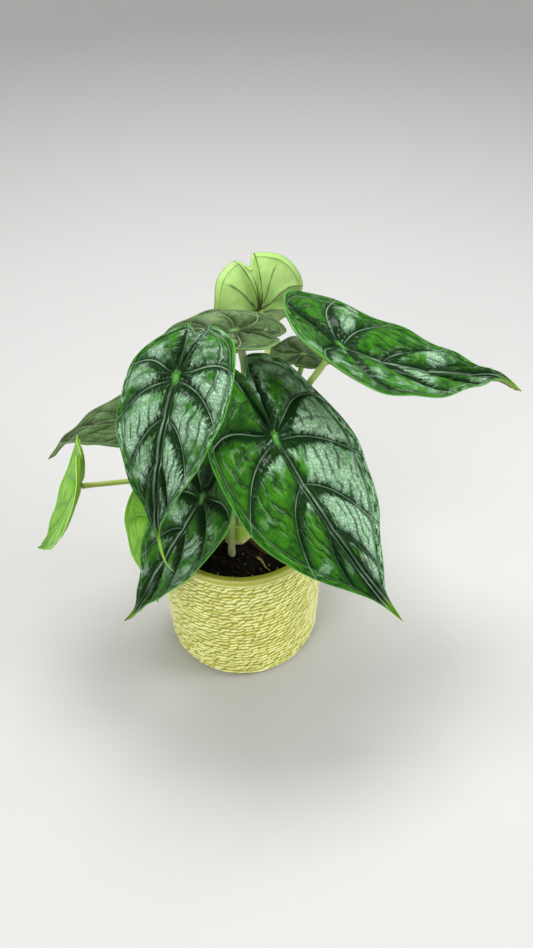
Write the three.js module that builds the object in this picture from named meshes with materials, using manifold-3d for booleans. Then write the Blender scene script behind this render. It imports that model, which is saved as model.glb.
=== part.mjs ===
// Potted dragon scale alocasia, life size, in millimetres with +Z up.
// The origin is the middle of the pot's foot, on the surface that the pot stands on, and the front is -Y.
// Ten shield shaped leaf blades, each on its own stalk, stand round a short stem in a pot of potting mix.

import * as THREE from 'three';
import { mergeVertices } from 'three/addons/utils/BufferGeometryUtils.js';
import Module from 'manifold-3d';

const wasm = await Module();
wasm.setup();

// The gap between a stalk and what holds it, and the distance under which two corners are one.
const FIT_GAP = 0.3;
const MERGE = 1e-4;

// The pot is glazed, with a plain band at the rim and rows of short raised stitches below it.
const POT = {
  height: 122, rimRadius: 60, footRadius: 58.2, footCorner: 7, wall: 4.8, floor: 6, rimEdge: 1.2,
  bandHeight: 5, bandEdge: 0.8, knitRows: 20, knitBottom: 8, knitRelief: 1.2, shortStitch: 0.3, sides: 48,
};
// The potting mix has a low crown, an uneven top and bits of bark and perlite sunk into it.
const SOIL = {
  edgeHeight: 102.5, crownHeight: 106.5, sides: 24, rings: [0.9, 0.72, 0.54, 0.36, 0.18],
  roughness: 0.8, roughAcross: 0.31, roughBack: 0.27, rimMargin: 6,
};
const CHUNK = { count: 18, radius: 2.6, least: 0.7, spread: 0.9, stretch: [1.4, 0.9, 0.7], seed: 7 };
// The stem widens to a papery collar just above the potting mix and narrows again over it.
const STEM = {
  x: -3, y: -6, bottom: 84, top: 124, bottomRadius: 7, waistRadius: 10.4, neckRadius: 9.3, topRadius: 9.6,
  collarRise: 2, collarLip: 1.6, flare: 6, edge: 1, sides: 20,
};
const STALK = { ring: 5.9, footDepth: 14, clearance: 107, sides: 7, bends: 10 };
const BLADE = {
  thickness: 1.0, keel: 0.6, foldSoftness: 0.03, bulgePower: 2.2, risePower: 0.7, wavePower: 4, tipFade: 2.5,
  archPower: 1.3, columns: 3,
  coarse: [0, 0.25, 0.6, 0.9, 1], fine: [0, 0.18, 0.42, 0.68, 0.9, 1],
};

// Half of the blade's outline, in blade lengths from the stalk joint, at stations 0 to 10.
// Station 0 is the notch between the two rear lobes and station 10 is the drip tip.
const OUTLINE = [
  [-0.285, 0.0], [-0.352, 0.085], [-0.27, 0.245], [-0.06, 0.335], [0.2, 0.337], [0.37, 0.295],
  [0.53, 0.225], [0.66, 0.148], [0.77, 0.078], [0.87, 0.026], [1.0, 0.0],
].map(([x, y]) => new THREE.Vector2(x, y));
// Where the line to each station leaves the midrib. The first five leave it at the stalk joint.
const LINE_START = [0, 0, 0, 0, 0, 0.1, 0.26, 0.42, 0.58, 0.75, 0.95].map((x) => new THREE.Vector2(x, 0));
const LAST_STATION = OUTLINE.length - 1;
// The veins by rib number: rib 0 is the notch line, ribs 1 to 6 are side veins and rib 7 is the tip.
// Each starts on the line to one station and arches towards the tip by some stations on its way out.
const RIBS = [
  { station: 0, arch: 0 }, { station: 0.9, arch: 0 }, { station: 3.05, arch: 0 }, { station: 4.4, arch: 0.2 },
  { station: 5.95, arch: 0.7 }, { station: 7.4, arch: 0.75 }, { station: 8.65, arch: 0.5 },
  { station: LAST_STATION, arch: 0 },
];
const LAST_RIB = RIBS.length - 1;
const WIDEST = 0.335;
const REAR_LENGTH = 0.34;
const TAIL_START = 0.78;
const LINE_SWEEP = 0.035;
const COLLECTING_VEIN = 0.9;

// Each leaf: joint is where the stalk meets the blade, length runs from there to the tip.
// heading, pitch and roll turn the blade, then droop, tailDroop and rear bend it along the midrib,
// sway and tailSway bend it sideways, cup and fold shape it across, and twist turns it along its length.
// quilt is how far the skin bulges between the veins, wave how far the margin waves, in millimetres.
// slot is the stalk's place on the stem in degrees, foot its place in the soil, handles shape its curve.
const LEAVES = {
  front_right: {
    joint: [22, -20.7, 214], length: 137.7, width: 1.11, skew: 0.03, heading: -48.5, pitch: -42, roll: -10.5,
    droop: -5, tailDroop: -21, rear: -12, sway: 9, tailSway: -12, cup: -4.5, fold: -1.5, twist: 32.5,
    quilt: 3.2, wave: 1.2, slot: -50, handles: [0.4, 0.4], foot: null, radii: [2.6, 2.1], large: true,
  },
  front_left: {
    joint: [-30.9, -21.2, 258], length: 100.2, width: 1.03, skew: -0.06, heading: -108, pitch: -29, roll: 12,
    droop: 44.5, tailDroop: 26, rear: 19, sway: 0, tailSway: -15, cup: 12.5, fold: -1, twist: -4.5,
    quilt: 2.6, wave: 1.0, slot: 250, handles: [0.5, 0.35], foot: null, radii: [2.6, 2.0], large: true,
  },
  front_low: {
    joint: [-20.2, -36.1, 177], length: 105.3, width: 1.01, skew: -0.02, heading: -150, pitch: -53.5, roll: 1,
    droop: -3, tailDroop: -7.5, rear: -29, sway: 8, tailSway: -20, cup: 3, fold: 9.5, twist: 0.5,
    quilt: 2.4, wave: 0.8, slot: null, handles: [0.45, 0.4], foot: [-6, -23], radii: [2.4, 1.9], large: true,
  },
  young_low: {
    joint: [-60.3, -11.3, 131], length: 74.6, width: 0.87, skew: -0.12, heading: -149.5, pitch: -65, roll: -5,
    droop: 28, tailDroop: 3.5, rear: -10, sway: 30, tailSway: 15.5, cup: 3.5, fold: 12, twist: -1,
    quilt: 0.9, wave: 0.5, slot: null, handles: [0.55, 0.35], foot: [-17, -14], radii: [2, 1.5], large: false,
  },
  young_left: {
    joint: [-99.6, -25.7, 176], length: 89.4, width: 0.88, skew: -0.03, heading: 187, pitch: -64, roll: -2.5,
    droop: -7, tailDroop: -3.5, rear: -31, sway: -16.5, tailSway: -28, cup: -1, fold: 9.5, twist: 1,
    quilt: 0.9, wave: 0.5, slot: null, handles: [0.55, 0.45], foot: [-18, 4], radii: [2.2, 1.6], large: false,
  },
  left: {
    joint: [-58, 26.3, 185], length: 100.1, width: 0.85, skew: -0.01, heading: 163.5, pitch: -8, roll: -5.5,
    droop: 41, tailDroop: 10, rear: -10, sway: 10.5, tailSway: 36.5, cup: 7, fold: 10, twist: 4,
    quilt: 2.0, wave: 0.8, slot: 190, handles: [0.5, 0.4], foot: null, radii: [2.5, 1.9], large: false,
  },
  top: {
    joint: [0.1, 23.4, 257], length: 82.3, width: 0.87, skew: 0, heading: 162.5, pitch: -1, roll: 4,
    droop: 54, tailDroop: 3.5, rear: -4.5, sway: -10.5, tailSway: -9, cup: 2, fold: 4, twist: -6.5,
    quilt: 2.0, wave: 0.6, slot: 'middle', handles: [0.5, 0.3], foot: null, radii: [2.6, 2.2], large: false,
  },
  back: {
    joint: [12.1, 84.9, 234], length: 116, width: 0.91, skew: 0, heading: 110, pitch: -60, roll: -12.5,
    droop: -23.5, tailDroop: 0, rear: -96, sway: -10, tailSway: 0, cup: 6.5, fold: 5, twist: 0,
    quilt: 1.8, wave: 0.6, slot: 130, handles: [0.55, 0.3], foot: null, radii: [2.6, 2.0], large: true,
  },
  back_low: {
    joint: [43.6, 73.3, 205], length: 76.5, width: 0.87, skew: 0.03, heading: 67.5, pitch: -14.5, roll: 0,
    droop: 8.5, tailDroop: 0, rear: -9.5, sway: -0.5, tailSway: 0, cup: 7, fold: 5.5, twist: -1,
    quilt: 1.8, wave: 0.6, slot: 70, handles: [0.5, 0.35], foot: null, radii: [2.5, 1.8], large: false,
  },
  right: {
    joint: [62.4, 39.6, 237], length: 125.5, width: 1.04, skew: -0.05, heading: -8, pitch: -25.5, roll: -6,
    droop: -36.5, tailDroop: 43.5, rear: -17, sway: 8, tailSway: -40.5, cup: 10, fold: 16.5, twist: 10.5,
    quilt: 2.8, wave: 1.2, slot: 10, handles: [0.5, 0.4], foot: null, radii: [2.6, 2.1], large: true,
  },
};
// How a stalk leans as it reaches its blade, added to the blade's own normal.
const STALK_LEAN = { top: [-0.33, 0.1, 0], young_left: [0, -0.42, 0.02] };

const radians = THREE.MathUtils.degToRad;
const clamp = THREE.MathUtils.clamp;

// A smooth curve through evenly numbered points, read at any number between them.
function smoothThrough(points, number) {
  const last = points.length - 1;
  const index = clamp(Math.floor(number), 0, last - 1);
  const start = points[index];
  const end = points[index + 1];
  const before = index > 0 ? points[index - 1] : start.clone().multiplyScalar(2).sub(end);
  const after = index + 1 < last ? points[index + 2] : end.clone().multiplyScalar(2).sub(start);
  return new THREE.SplineCurve([before, start, end, after]).getPoint((1 + number - index) / 3);
}

// Geometry from a list of triangles, each three vectors, with shared corners merged and slivers dropped.
function geometryOf(triangles) {
  const loose = new THREE.BufferGeometry().setFromPoints(triangles.flat());
  const merged = mergeVertices(loose, MERGE);
  const index = Array.from(merged.index.array);
  const kept = [];
  for (let i = 0; i < index.length; i += 3) {
    const [a, b, c] = index.slice(i, i + 3);
    if (a !== b && b !== c && c !== a) {
      kept.push(a, b, c);
    }
  }
  merged.setIndex(kept);
  return merged;
}

// A blade as a function of rib number, distance out from the midrib and side.
class Blade {
  // The midrib is summed up in this many places, between these distances from the joint in blade lengths.
  static places = 160;
  static from = -0.45;
  static to = 1.1;

  constructor(leaf) {
    this.leaf = leaf;
    const turn = new THREE.Matrix4().makeRotationZ(radians(leaf.heading));
    turn.multiply(new THREE.Matrix4().makeRotationY(-radians(leaf.pitch)));
    this.turn = turn.multiply(new THREE.Matrix4().makeRotationX(radians(leaf.roll)));
    this.joint = new THREE.Vector3(...leaf.joint);
    this.spacing = (Blade.to - Blade.from) / (Blade.places - 1);
    this.midrib = this.midribTable();
    const zero = this.midribPoint(0);
    this.midrib.forEach((point) => point.sub(zero));
  }

  // How far the midrib has dipped and swung at a distance along it, in radians.
  bend(along) {
    const { droop, tailDroop, rear, sway, tailSway } = this.leaf;
    const ahead = Math.max(along, 0);
    const behind = Math.max(-along, 0) / REAR_LENGTH;
    const tail = Math.max((along - TAIL_START) / (1 - TAIL_START), 0);
    const dip = radians(-droop * ahead - tailDroop * tail + rear * behind);
    const swing = radians(sway * ahead + tailSway * tail);
    return { dip, swing };
  }

  midribDirection(along) {
    const { dip, swing } = this.bend(along);
    const forward = Math.cos(swing);
    return new THREE.Vector3(Math.cos(dip) * forward, Math.sin(swing), Math.sin(dip) * forward);
  }

  // The bent midrib, summed up in small steps.
  midribTable() {
    const points = [new THREE.Vector3()];
    for (let i = 1; i < Blade.places; i += 1) {
      const along = Blade.from + this.spacing * i;
      const step = this.midribDirection(along).add(this.midribDirection(along - this.spacing));
      points.push(points[i - 1].clone().addScaledVector(step, this.spacing / 2));
    }
    return points;
  }

  midribPoint(along) {
    const place = clamp((along - Blade.from) / this.spacing, 0, Blade.places - 1.001);
    const index = Math.floor(place);
    return this.midrib[index].clone().lerp(this.midrib[index + 1], place - index);
  }

  // The station that a rib has reached at a share of the way from the midrib to the margin.
  station(rib, out) {
    const index = Math.min(Math.floor(rib), LAST_RIB - 1);
    const share = rib - index;
    const [here, next] = [RIBS[index], RIBS[index + 1]];
    const start = THREE.MathUtils.lerp(here.station, next.station, share);
    return start + THREE.MathUtils.lerp(here.arch, next.arch, share) * out ** BLADE.archPower;
  }

  // A rib's place in the flat blade, at a share of the way from the midrib to the margin.
  flat(rib, out) {
    const station = this.station(rib, out);
    const edge = smoothThrough(OUTLINE, station);
    const start = Math.max(smoothThrough(LINE_START, station).x, 0);
    const swept = clamp((station - 2) / 3, 0, 1) * clamp((LAST_STATION - station) / 2, 0, 1);
    const along = start + (edge.x - start) * out - LINE_SWEEP * Math.sin(Math.PI * out) * swept;
    return { along, across: Math.max(edge.y, 0) * out * this.leaf.width };
  }

  // The quilted skin: it bulges between two ribs, and dips along them and along the collecting vein.
  relief(rib, out) {
    const phase = rib < 1 ? (rib + 1) / 2 : rib - Math.min(Math.floor(rib), LAST_RIB - 1);
    const bulge = 1 - Math.abs(2 * phase - 1) ** BLADE.bulgePower;
    const inner = Math.min(out / COLLECTING_VEIN, 1);
    const rise = Math.sin(Math.PI * inner) ** BLADE.risePower;
    const station = this.station(rib, out);
    const fade = clamp((LAST_STATION - station) / BLADE.tipFade, 0, 1);
    const window = clamp(Math.min(station, LAST_STATION - station), 0, 1);
    const wave = Math.sin(Math.PI * station + this.leaf.heading) * out ** BLADE.wavePower * window;
    return this.leaf.quilt * bulge * rise * fade + this.leaf.wave * wave;
  }

  // A point on the blade in space. lift is measured along the bent blade's normal.
  point(rib, out, side, drop) {
    const { length, skew, cup, fold, twist } = this.leaf;
    const { along, across } = this.flat(rib, out);
    const wide = side * across * (1 + side * skew);
    const { dip, swing } = this.bend(along);
    const level = new THREE.Vector3(
      -Math.cos(dip) * Math.sin(swing), Math.cos(swing), -Math.sin(dip) * Math.sin(swing),
    );
    const upright = new THREE.Vector3(-Math.sin(dip), 0, Math.cos(dip));
    const turn = radians(twist) * along;
    const acrossAxis = level.clone().multiplyScalar(Math.cos(turn)).addScaledVector(upright, Math.sin(turn));
    const normal = upright.clone().multiplyScalar(Math.cos(turn)).addScaledVector(level, -Math.sin(turn));
    const curl = radians(cup) / WIDEST;
    const cupped = (Math.cos(curl * wide) - 1) / curl;
    const folded = Math.tan(radians(fold)) * (Math.hypot(wide, BLADE.foldSoftness) - BLADE.foldSoftness);
    const lift = (cupped + folded) * length + this.relief(rib, out) - drop;
    return this.midribPoint(along).multiplyScalar(length)
      .addScaledVector(acrossAxis, (Math.sin(curl * wide) / curl) * length)
      .addScaledVector(normal, lift)
      .applyMatrix4(this.turn)
      .add(this.joint);
  }

  normal() {
    return new THREE.Vector3(0, 0, 1).transformDirection(this.turn);
  }

  // Both faces of both halves on one grid, cut along the same diagonals, and the wall round the margin.
  geometry() {
    const outs = this.leaf.large ? BLADE.fine : BLADE.coarse;
    const triangles = [];
    const quad = (a, b, c, d, flip) => {
      triangles.push(flip ? [a, c, b] : [a, b, c], flip ? [a, d, c] : [a, c, d]);
    };
    const corner = (rib, out, side, under) => {
      const drop = under ? BLADE.thickness + BLADE.keel * (1 - Math.min(out / outs[1], 1)) : 0;
      return this.point(rib, out, side, drop);
    };
    for (const side of [1, -1]) {
      for (let step = 0; step < BLADE.columns * LAST_RIB; step += 1) {
        const [here, next] = [step / BLADE.columns, (step + 1) / BLADE.columns];
        for (const under of [false, true]) {
          for (let ring = 1; ring < outs.length; ring += 1) {
            const [inner, outer] = [outs[ring - 1], outs[ring]];
            const corners = [[here, inner], [here, outer], [next, outer], [next, inner]];
            quad(...corners.map(([rib, out]) => corner(rib, out, side, under)), (side > 0) !== under);
          }
        }
        const wall = [[here, false], [here, true], [next, true], [next, false]];
        quad(...wall.map(([rib, under]) => corner(rib, 1, side, under)), side > 0);
      }
    }
    return geometryOf(triangles);
  }
}

// A tapered stalk from its foot to just under its blade, as rings of corners along a curve.
class Stalk {
  constructor(name, leaf, blade) {
    const normal = blade.normal();
    const arrival = normal.clone().add(new THREE.Vector3(...(STALK_LEAN[name] ?? [0, 0, 0]))).normalize();
    const tilt = Math.sin(arrival.angleTo(normal));
    const below = BLADE.thickness + BLADE.keel + FIT_GAP + leaf.radii[1] * tilt;
    const top = blade.joint.clone().addScaledVector(normal, -below);
    this.radii = leaf.radii;
    this.base = leaf.foot ? new THREE.Vector3(...leaf.foot, STALK.clearance) : Stalk.slotPlace(leaf.slot);
    this.rooted = leaf.foot !== null;
    const reach = top.distanceTo(this.base);
    const [rise, approach] = leaf.handles;
    this.curve = new THREE.CubicBezierCurve3(
      this.base,
      this.base.clone().add(new THREE.Vector3(0, 0, rise * reach)),
      top.clone().addScaledVector(arrival, -approach * reach),
      top,
    );
  }

  static slotPlace(slot) {
    const ring = slot === 'middle' ? 0 : STALK.ring;
    const angle = slot === 'middle' ? 0 : radians(slot);
    return new THREE.Vector3(ring * Math.cos(angle), ring * Math.sin(angle), STEM.top + FIT_GAP)
      .add(new THREE.Vector3(STEM.x, STEM.y, 0));
  }

  // One ring of corners round a place, square to a direction.
  ring(place, direction, across, radius) {
    const upward = new THREE.Vector3().crossVectors(direction, across).normalize();
    const sideways = new THREE.Vector3().crossVectors(upward, direction).normalize();
    return Array.from({ length: STALK.sides }, (_, i) => {
      const angle = (2 * Math.PI * i) / STALK.sides;
      return place.clone()
        .addScaledVector(sideways, radius * Math.cos(angle))
        .addScaledVector(upward, radius * Math.sin(angle));
    });
  }

  geometry() {
    const across = new THREE.Vector3(1, 0, 0);
    const rings = [];
    if (this.rooted) {
      const foot = this.base.clone().setZ(STALK.clearance - STALK.footDepth);
      rings.push(this.ring(foot, new THREE.Vector3(0, 0, 1), across, this.radii[0]));
    }
    for (let bend = 0; bend <= STALK.bends; bend += 1) {
      const share = bend / STALK.bends;
      const direction = this.curve.getTangent(share);
      const radius = THREE.MathUtils.lerp(this.radii[0], this.radii[1], share);
      rings.push(this.ring(this.curve.getPoint(share), direction, across, radius));
      across.copy(rings.at(-1)[0]).sub(this.curve.getPoint(share)).normalize();
    }
    const triangles = [];
    for (let i = 1; i < STALK.sides - 1; i += 1) {
      triangles.push([rings[0][0], rings[0][i + 1], rings[0][i]]);
      triangles.push([rings.at(-1)[0], rings.at(-1)[i], rings.at(-1)[i + 1]]);
    }
    for (let r = 1; r < rings.length; r += 1) {
      for (let i = 0; i < STALK.sides; i += 1) {
        const next = (i + 1) % STALK.sides;
        triangles.push([rings[r - 1][i], rings[r - 1][next], rings[r][next]]);
        triangles.push([rings[r - 1][i], rings[r][next], rings[r][i]]);
      }
    }
    return geometryOf(triangles);
  }
}

// A turned body about +Z from a profile of [radius, height] pairs that runs from axis to axis.
function turned(profile, sides) {
  const geometry = new THREE.LatheGeometry(profile.map(([r, z]) => new THREE.Vector2(r, z)), sides);
  geometry.rotateX(Math.PI / 2);
  geometry.deleteAttribute('normal');
  geometry.deleteAttribute('uv');
  const flat = geometry.toNonIndexed().getAttribute('position');
  const corner = (i) => {
    const point = new THREE.Vector3().fromBufferAttribute(flat, i);
    return Math.hypot(point.x, point.y) < MERGE ? point.setX(0).setY(0) : point;
  };
  const triangles = [];
  for (let i = 0; i < flat.count; i += 3) {
    triangles.push([corner(i), corner(i + 1), corner(i + 2)]);
  }
  return geometryOf(triangles);
}

// Radius of the pot's outside at a height, before its knitted relief.
function potRadius(height) {
  const { footRadius, rimRadius, footCorner } = POT;
  if (height < footCorner) {
    return footRadius - footCorner + Math.sqrt(footCorner ** 2 - (footCorner - height) ** 2);
  }
  return THREE.MathUtils.mapLinear(height, footCorner, POT.height, footRadius, rimRadius);
}

function insideRadius(height) {
  return potRadius(Math.max(height, POT.footCorner)) - POT.wall;
}

// A glazed cylinder pot whose wall is covered with rows of short raised stitches below a plain rim band.
function potGeometry() {
  const bandBottom = POT.height - POT.bandHeight;
  const rowPitch = (bandBottom - POT.knitBottom) / POT.knitRows;
  const footHeights = [0, 0.3 * POT.footCorner, 0.7 * POT.footCorner];
  const profile = [[0, 0], ...footHeights.map((height) => [potRadius(height), height])];
  const crests = [];
  for (let row = 0; row < POT.knitRows; row += 1) {
    const valley = POT.knitBottom + row * rowPitch;
    profile.push([potRadius(valley), valley]);
    crests.push(valley + rowPitch / 2);
    profile.push([potRadius(crests[row]), crests[row]]);
  }
  const { height, rimRadius, rimEdge, bandEdge, floor } = POT;
  const innerRim = insideRadius(height);
  profile.push([potRadius(bandBottom), bandBottom], [rimRadius, bandBottom + bandEdge]);
  profile.push([rimRadius, height - rimEdge], [rimRadius - rimEdge, height]);
  profile.push([innerRim + rimEdge, height], [innerRim, height - rimEdge]);
  profile.push([insideRadius(floor), floor], [0, floor]);
  const geometry = turned(profile, POT.sides);
  const position = geometry.getAttribute('position');
  for (let i = 0; i < position.count; i += 1) {
    const point = new THREE.Vector3().fromBufferAttribute(position, i);
    const radius = Math.hypot(point.x, point.y);
    const outside = radius > insideRadius(point.z) + POT.wall / 2;
    if (outside && point.z > POT.knitBottom - 0.1 && point.z < bandBottom + 0.1) {
      const row = crests.findIndex((crest) => Math.abs(crest - point.z) < 0.1);
      const stitch = Math.round((Math.atan2(point.y, point.x) * POT.sides) / (2 * Math.PI));
      const raised = (stitch + row) % 2 === 0 ? 1 : POT.shortStitch;
      const proud = row < 0 ? -POT.knitRelief / 2 : POT.knitRelief * (raised - 0.5);
      position.setXY(i, (point.x * (radius + proud)) / radius, (point.y * (radius + proud)) / radius);
    }
  }
  return geometry;
}

function manifoldOf(geometry) {
  return new wasm.Manifold(new wasm.Mesh({
    numProp: 3,
    vertProperties: new Float32Array(geometry.getAttribute('position').array),
    triVerts: new Uint32Array(geometry.index.array),
  }));
}

function geometryFrom(manifold) {
  const mesh = manifold.getMesh();
  const geometry = new THREE.BufferGeometry();
  geometry.setAttribute('position', new THREE.BufferAttribute(mesh.vertProperties, 3));
  geometry.setIndex(new THREE.BufferAttribute(mesh.triVerts, 1));
  return geometry;
}

// Steady pseudo random numbers between 0 and 1.
function seeded(seed) {
  let state = seed;
  return () => {
    state = (state * 16807) % 2147483647;
    return state / 2147483647;
  };
}

function soilHeight(x, y) {
  const share = Math.min(Math.hypot(x, y) / insideRadius(SOIL.edgeHeight), 1);
  const crown = THREE.MathUtils.lerp(SOIL.crownHeight, SOIL.edgeHeight, share ** 2);
  return crown + SOIL.roughness * Math.sin(x * SOIL.roughAcross + 1) * Math.cos(y * SOIL.roughBack);
}

// A bit of bark or perlite, a stretched icosahedron sunk halfway into the top of the potting mix.
function chunkGeometry(x, y, radius, angle) {
  const chunk = new THREE.IcosahedronGeometry(radius, 0);
  chunk.scale(...CHUNK.stretch);
  chunk.rotateZ(angle);
  chunk.translate(x, y, soilHeight(x, y));
  chunk.deleteAttribute('normal');
  chunk.deleteAttribute('uv');
  return mergeVertices(chunk, MERGE);
}

// The potting mix, with its bits sunk into it and a plain hole for the stem and for each stalk's foot.
function soilGeometry(footings) {
  const reach = insideRadius(SOIL.edgeHeight) - FIT_GAP;
  const bottom = POT.floor + FIT_GAP;
  const profile = [[0, bottom], [insideRadius(POT.floor) - FIT_GAP, bottom], [reach, SOIL.edgeHeight]];
  SOIL.rings.forEach((share) => profile.push([reach * share, SOIL.crownHeight]));
  profile.push([0, SOIL.crownHeight]);
  const geometry = turned(profile, SOIL.sides);
  const position = geometry.getAttribute('position');
  for (let i = 0; i < position.count; i += 1) {
    if (position.getZ(i) > SOIL.edgeHeight) {
      position.setZ(i, soilHeight(position.getX(i), position.getY(i)));
    }
  }
  let soil = manifoldOf(geometry);
  const random = seeded(CHUNK.seed);
  let placed = 0;
  while (placed < CHUNK.count) {
    const angle = 2 * Math.PI * random();
    const radius = CHUNK.radius * (CHUNK.least + CHUNK.spread * random());
    const far = (reach - SOIL.rimMargin) * Math.sqrt(random());
    const [x, y] = [far * Math.cos(angle), far * Math.sin(angle)];
    const clear = footings.every((foot) => Math.hypot(x - foot.x, y - foot.y) > foot.radius + 2 * radius + 1);
    if (clear) {
      soil = soil.add(manifoldOf(chunkGeometry(x, y, radius, angle * 3)));
      placed += 1;
    }
  }
  for (const foot of footings) {
    const depth = POT.height - foot.bottom;
    const hole = turned([[0, 0], [foot.radius, 0], [foot.radius, depth], [0, depth]], foot.sides);
    hole.translate(foot.x, foot.y, foot.bottom);
    soil = soil.subtract(manifoldOf(hole));
  }
  return geometryFrom(soil);
}

// The short thick stem that the stalks' sheaths wrap, with a rough collar at the soil line.
function stemGeometry() {
  const { bottom, top, bottomRadius, waistRadius, neckRadius, topRadius, edge } = STEM;
  const collar = soilHeight(STEM.x, STEM.y) + STEM.collarRise;
  const geometry = turned([
    [0, bottom], [bottomRadius, bottom], [topRadius, collar - STEM.flare], [waistRadius, collar],
    [neckRadius, collar + STEM.collarLip], [neckRadius, collar + STEM.flare], [topRadius, top - edge],
    [topRadius - edge, top], [0, top],
  ], STEM.sides);
  geometry.translate(STEM.x, STEM.y, 0);
  return geometry;
}

function finish(color, roughness) {
  return new THREE.MeshStandardMaterial({ color, roughness, metalness: 0 });
}

const FINISH = {
  glaze: () => finish(0xb9c068, 0.35),
  soil: () => finish(0x2c231d, 0.95),
  stem: () => finish(0xb7cf8e, 0.6),
  stalk: () => finish(0x9fc16a, 0.5),
  mature: () => finish(0x3d6f45, 0.35),
  young: () => finish(0x8bbf3f, 0.4),
};

const group = new THREE.Group();

function addPiece(name, geometry, material) {
  const mesh = new THREE.Mesh(geometry, material);
  mesh.name = name;
  group.add(mesh);
}

const footings = [
  {
    x: STEM.x, y: STEM.y, radius: STEM.waistRadius + 2 * FIT_GAP,
    bottom: STEM.bottom - FIT_GAP, sides: STEM.sides,
  },
];
for (const [name, leaf] of Object.entries(LEAVES)) {
  const blade = new Blade(leaf);
  const stalk = new Stalk(name, leaf, blade);
  addPiece(`leaf_${name}`, blade.geometry(), name.startsWith('young') ? FINISH.young() : FINISH.mature());
  addPiece(`stalk_${name}`, stalk.geometry(), FINISH.stalk());
  if (leaf.foot) {
    const [x, y] = leaf.foot;
    const bottom = STALK.clearance - STALK.footDepth - FIT_GAP;
    footings.push({ x, y, radius: leaf.radii[0] + 2 * FIT_GAP, bottom, sides: 2 * STALK.sides });
  }
}
addPiece('pot', potGeometry(), FINISH.glaze());
addPiece('soil', soilGeometry(footings), FINISH.soil());
addPiece('stem_base', stemGeometry(), FINISH.stem());

export default group;
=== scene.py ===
"""Dresses the potted dragon scale alocasia: quilted leaves on slim stalks in a stitched chartreuse pot.

Sizes are in millimetres and become metres where a mesh is made. The pot's foot is at the origin, +Z is up
and the plant's front faces -Y.
"""

import logging
from collections.abc import Callable
from dataclasses import dataclass, field, replace
from enum import Enum

import bpy
import numpy as np
from mathutils import Matrix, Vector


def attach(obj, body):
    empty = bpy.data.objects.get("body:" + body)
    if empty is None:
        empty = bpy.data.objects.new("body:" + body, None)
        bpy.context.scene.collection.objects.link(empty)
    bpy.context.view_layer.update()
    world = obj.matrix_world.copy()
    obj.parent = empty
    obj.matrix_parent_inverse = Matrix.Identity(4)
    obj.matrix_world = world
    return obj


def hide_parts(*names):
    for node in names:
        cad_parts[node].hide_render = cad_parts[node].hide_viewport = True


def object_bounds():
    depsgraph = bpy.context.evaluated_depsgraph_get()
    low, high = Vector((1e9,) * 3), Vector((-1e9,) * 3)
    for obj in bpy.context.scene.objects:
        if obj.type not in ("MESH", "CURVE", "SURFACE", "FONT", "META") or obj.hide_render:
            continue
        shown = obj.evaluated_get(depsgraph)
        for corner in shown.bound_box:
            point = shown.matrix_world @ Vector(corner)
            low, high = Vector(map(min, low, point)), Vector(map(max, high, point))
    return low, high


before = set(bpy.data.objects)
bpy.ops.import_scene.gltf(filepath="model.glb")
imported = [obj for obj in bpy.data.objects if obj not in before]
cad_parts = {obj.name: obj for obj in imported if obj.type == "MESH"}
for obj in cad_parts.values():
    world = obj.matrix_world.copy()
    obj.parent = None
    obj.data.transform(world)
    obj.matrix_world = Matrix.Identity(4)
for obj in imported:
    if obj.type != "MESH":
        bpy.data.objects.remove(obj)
CAD_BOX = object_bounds()

Array = np.ndarray
Colour = tuple[float, float, float]
log = logging.getLogger("alocasia")

MM = 0.001


def tint(code: str) -> Colour:
    """Turns a screen colour into the linear light that shaders work in.

    Args:
        code: six hexadecimal digits, red, green and blue.
    Returns:
        The linear red, green and blue, each (c + 0.055) / 1.055 to the power 2.4 above the toe.
    """
    parts = [int(code[i : i + 2], 16) / 255 for i in (0, 2, 4)]
    return tuple(c / 12.92 if c <= 0.04045 else ((c + 0.055) / 1.055) ** 2.4 for c in parts)


def smooth(value: Array, low: float, high: float) -> Array:
    """A smooth step, 3t^2 - 2t^3 with t running from 0 at low to 1 at high."""
    t = np.clip((value - low) / (high - low), 0, 1)
    return t * t * (3 - 2 * t)


def bell(value: Array, width: float) -> Array:
    """A bell curve, e to the power -(value / width)^2."""
    return np.exp(-((value / width) ** 2))


def unit(vectors: Array) -> Array:
    """Each vector v scaled to length 1, v / |v|."""
    return vectors / np.linalg.norm(vectors, axis=-1, keepdims=True)


def lattice(x: Array, y: Array, seed: int) -> Array:
    """Smooth noise: seeded random heights on a unit grid, blended between corners by smooth steps.

    Args:
        x: first coordinate in grid cells.
        y: second coordinate in grid cells.
        seed: picks the table of heights.
    Returns:
        Heights between -1 and 1.
    """
    size = 64
    table = np.random.default_rng(seed).uniform(-1, 1, (size, size))
    i, j = np.floor(x).astype(int), np.floor(y).astype(int)
    u, v = smooth(x - i, 0, 1), smooth(y - j, 0, 1)

    def corner(a: int, b: int) -> Array:
        """The random height at one corner of each place's cell."""
        return table[(i + a) % size, (j + b) % size]

    near = corner(0, 0) * (1 - u) + corner(1, 0) * u
    far = corner(0, 1) * (1 - u) + corner(1, 1) * u
    return near * (1 - v) + far * v


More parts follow.
